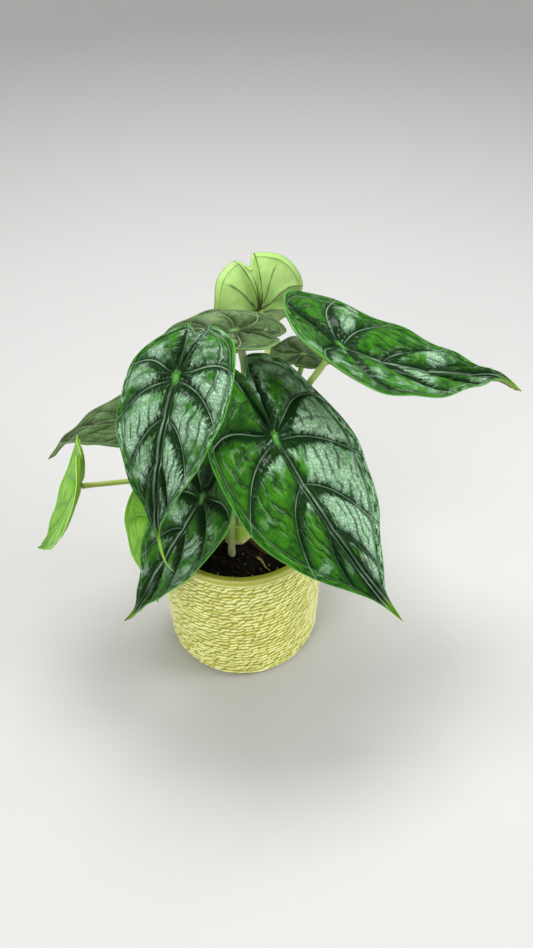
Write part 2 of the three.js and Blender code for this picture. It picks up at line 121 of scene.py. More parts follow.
def smooth_through(points: Array, number: Array) -> Array:
    """A Catmull-Rom curve through evenly numbered points a, b, c, d and on, its two ends run on straight.

    Between b and c it is (2b + (c - a)t + (2a - 5b + 4c - d)t^2 + (3b - a - 3c + d)t^3) / 2.

    Args:
        points: the points, one row each.
        number: where to read the curve.
    Returns:
        The curve's point for each number, on a last axis of its own.
    """
    run = np.vstack([2 * points[0] - points[1], points, 2 * points[-1] - points[-2]])
    k = np.clip(np.floor(number).astype(int), 0, len(points) - 2)
    t = (number - k)[..., None]
    a, b, c, d = run[k], run[k + 1], run[k + 2], run[k + 3]
    cubic = (-a + 3 * b - 3 * c + d) * t**3
    return 0.5 * (2 * b + (c - a) * t + (2 * a - 5 * b + 4 * c - d) * t**2 + cubic)


def arithmetic(operation: str) -> Callable[..., "Wire"]:
    """A method that combines a wire with numbers or other wires in one Math node.

    Args:
        operation: the sum's name in Blender.
    Returns:
        The method.
    """
    def combine(self: "Wire", *others: object) -> "Wire":
        """The sum of this wire and the others."""
        return self.recipe.node("Math", dict(enumerate((self, *others))), operation=operation)
    return combine


class Wire:
    """What a node gives out, which can be added, multiplied and so on like a number."""

    __add__ = arithmetic("ADD")
    __sub__ = arithmetic("SUBTRACT")
    __mul__ = arithmetic("MULTIPLY")
    __truediv__ = arithmetic("DIVIDE")
    __abs__ = arithmetic("ABSOLUTE")
    least = arithmetic("MINIMUM")
    most = arithmetic("MAXIMUM")
    root = arithmetic("SQRT")

    def __init__(self, recipe: "Recipe", socket: bpy.types.NodeSocket) -> None:
        """Keeps the recipe that later nodes go into, and the socket."""
        self.recipe, self.socket = recipe, socket

    def step(self, low: float, high: float) -> "Wire":
        """The smooth step of this wire, 0 at low and 1 at high."""
        inputs = {"Value": self, "From Min": low, "From Max": high}
        return self.recipe.node("MapRange", inputs, interpolation_type="SMOOTHSTEP")


class Recipe:
    """Writes one material's nodes in short calls. Numbers, colours and wires may all be given as inputs."""

    def __init__(self, name: str) -> None:
        """Starts an empty node tree for the material of this name.

        Args:
            name: the material's name.
        """
        self.material = bpy.data.materials.new(name)
        self.material.use_nodes = True
        self.tree = self.material.node_tree
        self.tree.nodes.clear()

    def node(self, kind: str, inputs: dict[int | str, object], output: int | str = 0,
             **settings: object) -> Wire:
        """Adds a node, sets its options and fills or links its inputs.

        Args:
            kind: the node type's name after "ShaderNode".
            inputs: values or wires by input name or number.
            output: which of its outputs is wanted.
            settings: the node's own options.
        Returns:
            The wire from that output.
        """
        made = self.tree.nodes.new("ShaderNode" + kind)
        for key, value in settings.items():
            setattr(made, key, value)
        for key, value in inputs.items():
            if isinstance(value, Wire):
                self.tree.links.new(value.socket, made.inputs[key])
            elif isinstance(value, tuple) and made.inputs[key].type == "RGBA":
                made.inputs[key].default_value = (*value, 1)
            else:
                made.inputs[key].default_value = value
        return Wire(self, made.outputs[output]) if made.outputs else None

    def mix(self, share: object, first: object, second: object) -> Wire:
        """Blends two colours, all first at share 0 and all second at share 1."""
        return self.node("Mix", {0: share, 6: first, 7: second}, 2, data_type="RGBA")

    def noise(self, vector: Wire, scale: float, detail: float = 3, rough: float = 0.55) -> Wire:
        """Fractal noise, about 0.5 on average."""
        return self.node("TexNoise", {"Vector": vector, "Scale": scale, "Detail": detail, "Roughness": rough})

    def cells(self, vector: Wire, scale: float, feature: str = "F1") -> Wire:
        """Distance to the nearest cell centre of a Voronoi pattern, or to its walls."""
        return self.node("TexVoronoi", {"Vector": vector, "Scale": scale}, "Distance", feature=feature)

    def triple(self, name: str) -> list[Wire]:
        """The three numbers of a vector attribute that the mesh carries."""
        split = self.node("SeparateXYZ", {0: self.node("Attribute", {}, "Vector", attribute_name=name)})
        return [Wire(self, socket) for socket in split.socket.node.outputs]

    def vector(self, x: Wire, y: Wire, z: float) -> Wire:
        """Three numbers as one vector."""
        return self.node("CombineXYZ", {0: x, 1: y, 2: z})

    def place(self) -> Wire:
        """The point's place on the object, in metres."""
        return self.node("TexCoord", {}, "Object")

    def bump(self, height: Wire, depth: float, below: Wire | None = None) -> Wire:
        """Relief that only bends the light.

        Args:
            height: a wire that runs from about 0 to 1.
            depth: the relief's depth in millimetres.
            below: normal of the relief that this one lies on.
        Returns:
            The bent normal.
        """
        inputs = {"Height": height, "Distance": depth * MM, "Strength": 1.0}
        return self.node("Bump", inputs | ({"Normal": below} if below else {}))

    def from_joint(self, middle: Wire, along: Wire, stretch: float) -> Wire:
        """Distance from the joint, sqrt(middle^2 + (stretch along)^2), with along no less than 0."""
        ahead = along.most(0.0) * stretch
        return (middle * middle + ahead * ahead).root()

    def finish(self, colour: Wire, rough: object, normal: Wire | None,
               **constants: object) -> bpy.types.Material:
        """Closes the tree with a Principled shader.

        Args:
            colour: base colour.
            rough: roughness.
            normal: bent normal, if any.
            constants: more of the shader's inputs, with _ for each space.
        Returns:
            The finished material.
        """
        inputs = {"Base Color": colour, "Roughness": rough} | ({"Normal": normal} if normal else {})
        inputs |= {key.replace("_", " "): value for key, value in constants.items()}
        self.node("OutputMaterial", {"Surface": self.node("BsdfPrincipled", inputs)})
        return self.material


@dataclass(frozen=True)
class BladeFinish:
    """The upper skin of a blade: dark along the veins, green between them, and silvery in patches.

    deep lies beside the veins, shade and vivid between them, silver over those, and vein, margin, tip and
    tip_end on their own places. The silver is partly the leaf's own silver colour and partly painted sheen,
    the lights' reflection painted into the colour, and the pale vein colour is partly the veins' own and
    partly a painted highlight on their crests. dark_beyond, dark_before and dark_midrib are the widths of
    the dark zones on the tip side of a vein, on its other side and beside the midrib, in millimetres, and
    vein_line is the width of a drawn vein. tip_from is where along the blade the tip's colour starts.
    silver_share moves the whole blade towards silver and its painted sheen, sheen_bias one half of it, the
    half where the painted sheen is stronger. relief scales the bumps, second_veins the veins between the
    side veins, and seed shifts the noise.
    """

    name: str
    deep: Colour
    shade: Colour
    vivid: Colour
    silver: Colour
    vein: Colour
    margin: Colour
    tip: Colour
    tip_end: Colour
    tip_from: float
    dark_beyond: float
    dark_before: float
    dark_midrib: float
    vein_line: float
    roughness: float
    relief: float
    gloss: float
    coat: float
    second_veins: float
    seed: float
    silver_share: float = 0.0
    sheen_bias: float = 0.0
    gleam: Colour = (0.6, 1.0, 0.45)
    jag: float = 13.0
    rear_green: float = -0.1

    def material(self) -> bpy.types.Material:
        """Makes the skin from the blade's own fields: distances to its veins and its margin.

        Streaks run across each cell, from vein to vein, because the noise is stretched along the ribs.
        The dark zone beside a vein is wide near the midrib and narrows outwards, with streaky edges. Painted
        shade darkens the creases and the rungs' dents, painted sheen and glints lie in the silver, and pale
        lines on the vein crests and beside the midrib are partly painted highlight.

        Returns:
            The finished material.
        """
        r = Recipe(self.name)
        before, beyond, middle = r.triple("vein_gap")
        edge, collector, along = r.triple("edge_gap")
        rib, out, rung = r.triple("rib_place")
        place, way_out, line = r.place(), abs(out), self.vein_line
        streaks = r.noise(r.vector(rib * 5.0, out * 30.0, self.seed), 1.0, 4, 0.65)
        shifted = r.node("Mapping", {0: place, 1: (self.seed, 0, 0)})
        blotch = r.noise(shifted, 55.0, 3, 0.55)
        fine = r.noise(place, 650.0, 4, 0.7)
        crumple = r.cells(place, 520.0, "DISTANCE_TO_EDGE")

        jagged = streaks * self.jag - self.jag / 2
        narrowing = way_out * -0.85 + 1.0
        clear = (middle - jagged).step(self.dark_midrib - 1, self.dark_midrib + 2)
        for gap, width in ((before, self.dark_beyond), (beyond, self.dark_before)):
            clear = (gap - (narrowing * width + jagged)).step(-0.8, 1.6) * clear

        # Silver patches, partly the leaf's own silver and partly painted sheen: sheen_bias paints more of it
        # on one half, and the glint flecks are painted glints from the fine crinkles.
        bias = rib.step(2.4, 1.4) * self.rear_green + (out * self.sheen_bias + self.silver_share)
        glint_flecks = fine.step(0.36, 0.6) * crumple.step(0.0, 0.16)
        silver_sheen = (blotch + bias).step(0.46, 0.66) * (glint_flecks * 0.6 + 0.32)
        side_vein = before.least(beyond)
        centre = (streaks * 9.0 + side_vein).step(4.0, 16.0)
        depth = r.noise(shifted, 120.0, 4, 0.65).step(0.3, 0.62) * centre
        green = r.mix(depth, self.shade, self.vivid)
        colour = r.mix(clear, self.deep, r.mix(silver_sheen, green, self.silver))
        # Painted shade in the rungs' dents, then a pale line down their middle, partly the small vein's own
        # colour and partly painted highlight.
        colour = r.mix(rung.step(0.15, 0.75) * 0.75, colour, self.deep)
        colour = r.mix(rung.step(0.8, 1.0) * clear * 0.6, colour, self.vein)
        # The strip outside the collecting vein, with painted sheen in its silver.
        strip = r.mix(streaks.step(0.4, 0.6), self.shade, r.mix(silver_sheen, self.vivid, self.silver))
        colour = r.mix(collector.step(0.4, -0.6), colour, strip)

        second = abs(before - beyond) * 0.5
        rear = rib.step(3.0, 2.9) * way_out.step(0.12, 0.3) * way_out.step(0.88, 0.75) * self.second_veins
        # Painted shade: the creases along the veins, the collecting vein and the second veins are darkened to
        # deep.
        groove = side_vein.least(middle).step(2.1, 0.5).most(abs(collector).step(1.5, 0.3)) * 0.85
        colour = r.mix(groove.most(second.step(1.4, 0.3) * rear), colour, self.deep)
        # Pale lines on the vein crests and either side of the midrib, partly the veins' own paler colour and
        # partly painted highlight.
        drawn = side_vein.step(line, line * 0.3) * way_out.step(0.0, 0.4)
        drawn = drawn.most(abs(middle - 1.3).step(line, line * 0.3) * along.step(0.0, 0.25))
        drawn = drawn.most(abs(collector).step(line, line * 0.2) * 0.7)
        drawn = drawn.most(second.step(line * 0.8, line * 0.2) * rear * 0.6)
        colour = r.mix(drawn * (blotch.step(0.35, 0.6) * 0.45 + 0.35), colour, self.vein)
        colour = r.mix(r.from_joint(middle, along, 40.0).step(3.4, 1.0), colour, self.margin)
        colour = r.mix((fine * 0.4 + edge).step(1.15, 0.65), colour, self.margin)
        colour = r.mix(along.step(self.tip_from, self.tip_from + 0.13), colour, self.tip)
        colour = r.mix(along.step(0.955, 0.985), colour, self.tip_end)

        bumps = r.bump(streaks, 1.5 * self.relief)
        bumps = r.bump(crumple, 0.5 * self.relief, bumps)
        bumps = r.bump(fine, 0.35 * self.relief, bumps)
        return r.finish(colour, fine * 0.25 + (self.roughness - 0.1), bumps, Specular_IOR_Level=self.gloss,
                        Specular_Tint=self.gleam, Coat_Weight=self.coat, Coat_Roughness=0.14)


@dataclass(frozen=True)
class UndersideFinish:
    """The under skin of a blade: pale, with its veins drawn darker, vein_line wide, and painted shadow round
    the stalk's joint.
    """

    name: str
    skin: Colour
    shade: Colour
    vein: Colour
    vein_line: float
    joint_shadow: float

    def material(self) -> bpy.types.Material:
        """Makes the skin, its veins fading outwards, with painted shadow round the stalk's joint and painted
        shade on the strip outside the collecting vein.

        Returns:
            The finished material.
        """
        r = Recipe(self.name)
        before, beyond, middle = r.triple("vein_gap")
        edge, collector, along = r.triple("edge_gap")
        way_out = abs(r.triple("rib_place")[1])
        place, line = r.place(), self.vein_line
        fine = r.noise(place, 420.0, 3, 0.6)
        colour = r.mix(r.noise(place, 60.0, 4, 0.6).step(0.35, 0.68), self.shade, self.skin)
        colour = r.mix(fine.step(0.5, 0.72) * 0.25, colour, self.shade)
        wobble = r.noise(place, 130.0, 2) * 1.6 - 0.8
        nearest = abs(before.least(beyond).least(middle) + wobble)
        second = abs(before - beyond) * 0.5
        between = way_out.step(0.08, 0.2) * way_out.step(0.9, 0.7)
        drawn = (nearest / (way_out * -0.6 + 1.0)).step(line, 0.0) * 0.95
        drawn = drawn.most((second + wobble).step(line * 0.7, 0.0) * (between * 0.8))
        drawn = drawn.most(abs(collector).step(0.6, 0.1) * 0.4)
        # Painted shadow round the joint, where the stalk shades the underside.
        drawn = drawn.most(r.from_joint(middle, along, 100.0).step(self.joint_shadow, self.joint_shadow * 0.3))
        # Painted shade on the strip outside the collecting vein.
        colour = r.mix(collector.step(1.0, -2.0) * 0.55, colour, self.shade)
        colour = r.mix(drawn, colour, self.vein)
        colour = r.mix(edge.step(1.1, 0.3) * 0.45, colour, self.vein)
        return r.finish(colour, 0.5, r.bump(fine, 0.2), Specular_IOR_Level=0.3)


@dataclass(frozen=True)
class StalkFinish:
    """A stalk's skin: streaked along its length, with colours for its foot, its middle and its top."""

    name: str
    foot: Colour
    middle: Colour
    top: Colour
    streak: Colour

    def material(self) -> bpy.types.Material:
        """Makes the skin from the share along the stalk and the turn round it.

        Returns:
            The finished material.
        """
        r = Recipe(self.name)
        share, turn, _ = r.triple("stalk_place")
        lines = r.noise(r.vector(share * 5.0, turn * 26.0, 0.0), 1.0, 3, 0.6)
        fine = r.noise(r.place(), 900.0, 2)
        colour = r.mix(share.step(0.0, 0.3), self.foot, self.middle)
        colour = r.mix(share.step(0.55, 1.0), colour, self.top)
        colour = r.mix(lines.step(0.5, 0.75) * 0.5, colour, self.streak)
        bumps = r.bump(fine, 0.05, r.bump(lines, 0.25))
        return r.finish(colour, fine * 0.2 + 0.32, bumps, Specular_IOR_Level=0.45)


@dataclass(frozen=True)
class SheathFinish:
    """The stem's wrapped sheaths: pale green, with a dry papery edge at the collar."""

    name: str
    green: Colour
    pale: Colour
    dry: Colour
    stain: Colour

    def material(self) -> bpy.types.Material:
        """Makes the skin from the height over the collar, the turn round the stem and the dryness.

        Returns:
            The finished material.
        """
        r = Recipe(self.name)
        height, turn, dryness = r.triple("sheath_place")
        fibres = r.noise(r.vector(height * 0.12, turn * 40.0, 2.0), 1.0, 4, 0.6)
        patches = r.noise(r.place(), 260.0, 4, 0.65)
        dried = (dryness + (patches * 0.8 - 0.4)).step(0.3, 0.7)
        colour = r.mix(fibres.step(0.35, 0.7), self.green, self.pale)
        colour = r.mix(dried, colour, r.mix(patches.step(0.5, 0.68), self.dry, self.stain))
        bumps = r.bump(patches, 0.5, r.bump(fibres, 0.5))
        return r.finish(colour, dried * 0.35 + 0.4, bumps, Specular_IOR_Level=0.4)


@dataclass(frozen=True)
class GlazeFinish:
    """Chartreuse glaze, pale on the stitches' tops and pooling olive between them: the pale tops are partly
    the glaze thinning there and partly painted highlight, and pale lines at the rim are painted highlights.
    """

    name: str
    crest_and_highlight: Colour
    body: Colour
    pool: Colour

    def material(self) -> bpy.types.Material:
        """Makes the glaze from the height of the relief, with small pits and a soft speckle.

        Returns:
            The finished material.
        """
        r = Recipe(self.name)
        height, rim_highlight, _ = r.triple("stitch")
        place = r.place()
        speckle = r.noise(place, 900.0, 3, 0.6)
        level = speckle * 0.3 + (height - 0.15)
        colour = r.mix(level.step(-0.1, 0.4), self.pool, self.body)
        # The proudest stitch tops turn pale, partly the glaze thinning there and partly painted highlight.
        colour = r.mix(level.step(0.35, 0.7), colour, self.crest_and_highlight)
        # Painted highlight lines at the rim.
        colour = r.mix(rim_highlight * 0.85, colour, self.crest_and_highlight)
        colour = r.mix(r.noise(place, 60.0, 3, 0.5).step(0.5, 0.75) * 0.22, colour, self.pool)
        bumps = r.bump(speckle, 0.12, r.bump(r.noise(place, 330.0, 2), 0.22))
        return r.finish(colour, speckle * 0.2 + 0.2, bumps, Coat_Weight=0.35, Coat_Roughness=0.12)


@dataclass(frozen=True)
class GrainFinish:
    """A matt, grainy finish in two colours, for potting mix, bark, perlite, roots and twigs.

    grain is in cells to the metre and depth in millimetres.
    """

    name: str
    dark: Colour
    light: Colour
    grain: float
    depth: float
    roughness: float

    def material(self) -> bpy.types.Material:
        """Makes the grain from fractal noise with smaller cells over it.

        Returns:
            The finished material.
        """
        r = Recipe(self.name)
        place = r.place()
        coarse = r.noise(place, self.grain, 5, 0.65)
        fine = r.cells(place, self.grain * 2.2)
        colour = r.mix((fine * 0.35 + coarse).step(0.45, 0.85), self.dark, self.light)
        bumps = r.bump(fine, self.depth * 0.5, r.bump(coarse, self.depth))
        return r.finish(colour, self.roughness, bumps, Specular_IOR_Level=0.25)


class Skin(Enum):
    """The kinds of blade, by the look of the side that shows."""

    SILVER = "silver"
    GREY = "grey"
    YOUNG = "young"
    PALE_BACK = "pale back"


UPPER = {
    Skin.SILVER: BladeFinish(
        name="Quilted_Dark_Skin", deep=tint("022b04"), shade=tint("0f4708"), vivid=tint("3a8010"),
        silver=tint("c0e6c8"), vein=tint("9dbd9e"), margin=tint("5fa848"), tip=tint("93cf2b"),
        tip_end=tint("9ad02c"), tip_from=0.85, dark_beyond=9.0, dark_before=1.8, dark_midrib=3.6,
        vein_line=0.6, roughness=0.3, relief=1.0, gloss=0.17, coat=0.18, second_veins=0.6, seed=3.1,
    ),
    Skin.GREY: BladeFinish(
        name="Quilted_Grey_Skin", deep=tint("32441f"), shade=tint("486237"), vivid=tint("5f8046"),
        silver=tint("93a980"), vein=tint("98a883"), margin=tint("7aa05a"), tip=tint("86a65a"),
        tip_end=tint("8f8458"), tip_from=0.9, dark_beyond=3.6, dark_before=1.6, dark_midrib=2.0,
        vein_line=0.7, roughness=0.45, relief=0.8, gloss=0.3, coat=0.1, second_veins=1.0, seed=7.7,
    ),
    Skin.YOUNG: BladeFinish(
        name="Lime_Skin", deep=tint("58a312"), shade=tint("70b818"), vivid=tint("92cf26"),
        silver=tint("a3d650"), vein=tint("b4dc6c"), margin=tint("bbe36d"), tip=tint("a6d233"),
        tip_end=tint("a8d436"), tip_from=0.9, dark_beyond=2.0, dark_before=1.2, dark_midrib=1.6,
        vein_line=0.6, roughness=0.36, relief=0.5, gloss=0.35, coat=0.15, second_veins=0.3, seed=5.2,
    ),
}
UPPER[Skin.PALE_BACK] = UPPER[Skin.GREY]
UNDER = {
    Skin.SILVER: UndersideFinish("Pale_Underside", tint("9dbe6b"), tint("82a858"), tint("4f5034"), 0.8, 5.0),
    Skin.GREY: UndersideFinish("Grey_Underside", tint("90aa68"), tint("789456"), tint("535437"), 0.7, 4.0),
    Skin.YOUNG: UndersideFinish("Lime_Underside", tint("a0d048"), tint("84b834"), tint("74a034"), 0.5, 2.5),
    # The back leaf's underside is painted brighter than the others: partly its own pale colour and partly
    # painted glow of light shining through it from behind.
    Skin.PALE_BACK: UndersideFinish("Backlit_Glow_Underside", tint("b0d67f"), tint("9bc465"), tint("46442a"),
                                    1.6, 4.5),
}
DRY_TIP = tint("8d6b47")


def make_piece(name: str, points: Array, faces: list,
               materials: list[bpy.types.Material]) -> bpy.types.Object:
    """Makes one smooth mesh object at the origin.

    Args:
        name: the piece's name.
        points: corners in millimetres, one row each.
        faces: corner numbers of each face.
        materials: the piece's materials in slot order.
    Returns:
        The object, linked into the scene.
    """
    mesh = bpy.data.meshes.new(name)
    mesh.from_pydata((points * MM).tolist(), [], faces)
    mesh.polygons.foreach_set("use_smooth", np.ones(len(mesh.polygons), bool))
    for material in materials:
        mesh.materials.append(material)
    mesh.update()
    piece = bpy.data.objects.new(name, mesh)
    bpy.context.scene.collection.objects.link(piece)
    return piece


def corner_vectors(piece: bpy.types.Object, name: str, values: Array) -> None:
    """Stores a vector attribute, one row of three numbers per face corner, in face order."""
    layer = piece.data.attributes.new(name, "FLOAT_VECTOR", "CORNER")
    layer.data.foreach_set("vector", values.astype(np.float32).ravel())


def grid_faces(rows: int, columns: int, closed: bool = False) -> Array:
    """Corner numbers of the quads of a grid of corners, row by row.

    Args:
        rows: corners down the grid.
        columns: corners across it.
        closed: joins the last column to the first.
    Returns:
        One row of four corner numbers for each quad.
    """
    last = columns if closed else columns - 1
    i, j = np.meshgrid(np.arange(rows - 1), np.arange(last), indexing="ij")
    after = (j + 1) % columns
    here, below = i * columns, (i + 1) * columns
    return np.stack([here + j, here + after, below + after, below + j], -1).reshape(-1, 4)


def ring_piece(name: str, rings: Array, finish: bpy.types.Material, mark: str = "",
               values: Array | None = None, ends: tuple[bool, bool] = (True, True),
               inward: bool = False) -> bpy.types.Object:
    """Makes a piece from a stack of closed rings of corners.

    Args:
        name: the piece's name.
        rings: the corners in millimetres, by ring and by place in the ring.
        finish: the piece's material.
        mark: the name of a vector attribute, if it has one.
        values: that attribute at each corner.
        ends: whether the first ring is filled, and the last.
        inward: turns every face over.
    Returns:
        The piece.
    """
    rows, columns = rings.shape[:2]
    step = -1 if inward else 1
    first, last = np.arange(columns)[::-step], ((rows - 1) * columns + np.arange(columns))[::step]
    caps = [cap.tolist() for cap, filled in zip((first, last), ends) if filled]
    faces = grid_faces(rows, columns, closed=True)[:, ::step].tolist() + caps
    piece = make_piece(name, rings.reshape(-1, 3), faces, [finish])
    if mark:
        numbers = np.zeros(len(piece.data.loops), int)
        piece.data.loops.foreach_get("vertex_index", numbers)
        corner_vectors(piece, mark, values.reshape(-1, 3)[numbers])
    return piece


def turns(count: int) -> Array:
    """Angles evenly round a full turn, 2 pi k / count."""
    return np.linspace(0, 2 * np.pi, count, endpoint=False)


def turned(radius: Array, angle: Array, height: Array, x: float = 0, y: float = 0) -> Array:
    """Points round an upright axis through x and y, (x + r cos a, y + r sin a, z)."""
    return np.stack([x + radius * np.cos(angle), y + radius * np.sin(angle), height], -1)


def tube(line: Array, side: Array, up: Array, reach: Array, turn: Array, flat: float = 1) -> Array:
    """Rings of a tube, line + reach cos(turn) side + flat reach sin(turn) up.

    Args:
        line: the points that it runs through.
        side: unit vectors across it at each point.
        up: unit vectors across it and across side.
        reach: its half width, by point and by place in the ring.
        turn: angles round the ring.
        flat: its height as a share of its width.
    Returns:
        The rings' corners.
    """
    across, over = np.cos(turn) * reach, flat * np.sin(turn) * reach
    return line[:, None] + (across[..., None] * side[:, None] + over[..., None] * up[:, None])


def round_values(first: Array, turn: Array) -> Array:
    """An attribute for a tube: first at each ring, then cos(turn) and sin(turn) round it."""
    return np.stack(np.broadcast_arrays(first[:, None], np.cos(turn), np.sin(turn)), -1)


def dress(piece: bpy.types.Object, node: str) -> None:
    """Puts a piece in a CAD node's place.

    Args:
        piece: the finished piece.
        node: the CAD node that it stands for.
    """
    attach(piece, "root")
    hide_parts(node)
    log.info("%s stands for %s with %d faces", piece.name, node, len(piece.data.polygons))


def add(piece: bpy.types.Object) -> None:
    """Keeps a piece that has no CAD node of its own.

    Args:
        piece: the finished piece.
    """
    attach(piece, "root")
    log.info("%s is added with %d faces", piece.name, len(piece.data.polygons))


OUTLINE = np.array([
    (-0.285, 0.0), (-0.352, 0.085), (-0.27, 0.245), (-0.06, 0.335), (0.2, 0.337), (0.37, 0.295),
    (0.53, 0.225), (0.66, 0.148), (0.77, 0.078), (0.87, 0.026), (1.0, 0.0),
])
LINE_START = np.array([[0.0], [0], [0], [0], [0], [0.1], [0.26], [0.42], [0.58], [0.75], [0.95]])
LAST_STATION = 10
RIB_STATION = np.array([0, 0.9, 3.05, 4.4, 5.95, 7.4, 8.65, 10])
RIB_ARCH = np.array([0, 0, 0, 0.2, 0.7, 0.75, 0.5, 0])
RIB_BOW = np.array([0, -0.2, -0.38, -0.3, -0.2, -0.1, 0, 0])
LAST_RIB = 7
COLLECTOR = 0.9


@dataclass(frozen=True)
class Leaf:
    """One leaf's pose, in millimetres and degrees, with the same names as its CAD solid.

    joint is where the stalk meets the blade and length runs from there to the tip. heading, pitch and roll
    turn the blade. droop, tail_droop and rear bend it along the midrib, sway and tail_sway sideways, cup and
    fold across, and twist turns it along its length. quilt is how high the skin bulges between veins and
    wave how far the margin waves. slot is the stalk's place on the stem in degrees, foot its own place in
    the potting mix, and handles and lean shape its curve. silver is how much of the blade is silver, partly
    its own colour and partly painted sheen, and how much more on its left half than on its right, looking
    from the stalk to the tip, the half where the painted sheen is stronger. swell is how much the stalk
    thickens under the blade, browned gives the tip a dry end, and large a finer mesh.
    """

    name: str
    skin: Skin
    joint: tuple[float, float, float]
    length: float
    width: float
    skew: float
    heading: float
    pitch: float
    roll: float
    droop: float
    tail_droop: float
    rear: float
    sway: float
    tail_sway: float
    cup: float
    fold: float
    twist: float
    quilt: float
    wave: float
    handles: tuple[float, float]
    radii: tuple[float, float]
    slot: float | None = None
    foot: tuple[float, float] | None = None
    lean: tuple[float, float, float] = (0, 0, 0)
    silver: tuple[float, float] = (0, 0)
    swell: float = 0.3
    browned: bool = False
    large: bool = False

    def turn(self) -> Array:
        """The blade's turn as a matrix, roll first, then pitch, then heading.

        Returns:
            Three rows of three numbers.
        """
        h, p, r = np.radians([self.heading, self.pitch, self.roll])
        about_z = np.array([[np.cos(h), -np.sin(h), 0], [np.sin(h), np.cos(h), 0], [0, 0, 1]])
        about_y = np.array([[np.cos(p), 0, -np.sin(p)], [0, 1, 0], [np.sin(p), 0, np.cos(p)]])
        about_x = np.array([[1, 0, 0], [0, np.cos(r), -np.sin(r)], [0, np.sin(r), np.cos(r)]])
        return about_z @ about_y @ about_x


LEAVES = [
    Leaf("front_right", Skin.SILVER, (22, -20.7, 214), length=137.7, width=1.11, skew=0.03,
         heading=-48.5, pitch=-42, roll=-10.5, droop=-5, tail_droop=-21, rear=-12, sway=9, tail_sway=-12,
         cup=-4.5, fold=-1.5, twist=32.5, quilt=3.2, wave=1.2, handles=(0.4, 0.4), radii=(2.6, 2.1),
         slot=-50, silver=(0.03, 0.2), large=True),
    Leaf("front_left", Skin.SILVER, (-30.9, -21.2, 258), length=100.2, width=1.03, skew=-0.06,
         heading=-108, pitch=-29, roll=12, droop=44.5, tail_droop=26, rear=19, sway=0, tail_sway=-15,
         cup=12.5, fold=-1, twist=-4.5, quilt=2.6, wave=1.0, handles=(0.5, 0.35), radii=(2.6, 2.0),
         slot=250, silver=(0.1, 0.03), large=True),
    Leaf("front_low", Skin.SILVER, (-20.2, -36.1, 177), length=105.3, width=1.01, skew=-0.02,
         heading=-150, pitch=-53.5, roll=1, droop=-3, tail_droop=-7.5, rear=-29, sway=8, tail_sway=-20,
         cup=3, fold=9.5, twist=0.5, quilt=2.4, wave=0.8, handles=(0.45, 0.4), radii=(2.4, 1.9),
         foot=(-6, -23), silver=(-0.02, 0), browned=True, large=True),
    Leaf("young_low", Skin.YOUNG, (-60.3, -11.3, 131), length=74.6, width=0.87, skew=-0.12,
         heading=-149.5, pitch=-65, roll=-5, droop=28, tail_droop=3.5, rear=-10, sway=30, tail_sway=15.5,
         cup=3.5, fold=12, twist=-1, quilt=0.9, wave=0.5, handles=(0.55, 0.35), radii=(2.0, 1.5),
         foot=(-17, -14)),
    Leaf("young_left", Skin.YOUNG, (-99.6, -25.7, 176), length=89.4, width=0.88, skew=-0.03,
         heading=187, pitch=-64, roll=-2.5, droop=-7, tail_droop=-3.5, rear=-31, sway=-16.5, tail_sway=-28,
         cup=-1, fold=9.5, twist=1, quilt=0.9, wave=0.5, handles=(0.55, 0.45), radii=(2.2, 1.6),
         foot=(-18, 4), lean=(0, -0.42, 0.02)),
    Leaf("left", Skin.GREY, (-58, 26.3, 185), length=100.1, width=0.85, skew=-0.01,
         heading=163.5, pitch=-8, roll=-5.5, droop=41, tail_droop=10, rear=-10, sway=10.5, tail_sway=36.5,
         cup=7, fold=10, twist=4, quilt=2.0, wave=0.8, handles=(0.5, 0.4), radii=(2.5, 1.9), slot=190),
    Leaf("top", Skin.GREY, (0.1, 23.4, 257), length=82.3, width=0.87, skew=0,
         heading=162.5, pitch=-1, roll=4, droop=54, tail_droop=3.5, rear=-4.5, sway=-10.5, tail_sway=-9,
         cup=2, fold=4, twist=-6.5, quilt=2.0, wave=0.6, handles=(0.5, 0.3), radii=(2.6, 2.2),
         lean=(-0.33, 0.1, 0), swell=1.4),
    Leaf("back", Skin.PALE_BACK, (12.1, 84.9, 234), length=116, width=0.91, skew=0,
         heading=110, pitch=-60, roll=-12.5, droop=-23.5, tail_droop=0, rear=-96, sway=-10, tail_sway=0,
         cup=6.5, fold=5, twist=0, quilt=1.8, wave=0.6, handles=(0.55, 0.3), radii=(2.6, 2.0),
         slot=130, large=True),
    Leaf("back_low", Skin.GREY, (43.6, 73.3, 205), length=76.5, width=0.87, skew=0.03,
         heading=67.5, pitch=-14.5, roll=0, droop=8.5, tail_droop=0, rear=-9.5, sway=-0.5, tail_sway=0,
         cup=7, fold=5.5, twist=-1, quilt=1.8, wave=0.6, handles=(0.5, 0.35), radii=(2.5, 1.8), slot=70),
    Leaf("right", Skin.SILVER, (62.4, 39.6, 237), length=125.5, width=1.04, skew=-0.05,
         heading=-8, pitch=-25.5, roll=-6, droop=-36.5, tail_droop=43.5, rear=-17, sway=8, tail_sway=-40.5,
         cup=10, fold=16.5, twist=10.5, quilt=2.8, wave=1.2, handles=(0.5, 0.4), radii=(2.6, 2.1),
         slot=10, silver=(-0.03, 0), large=True),
]


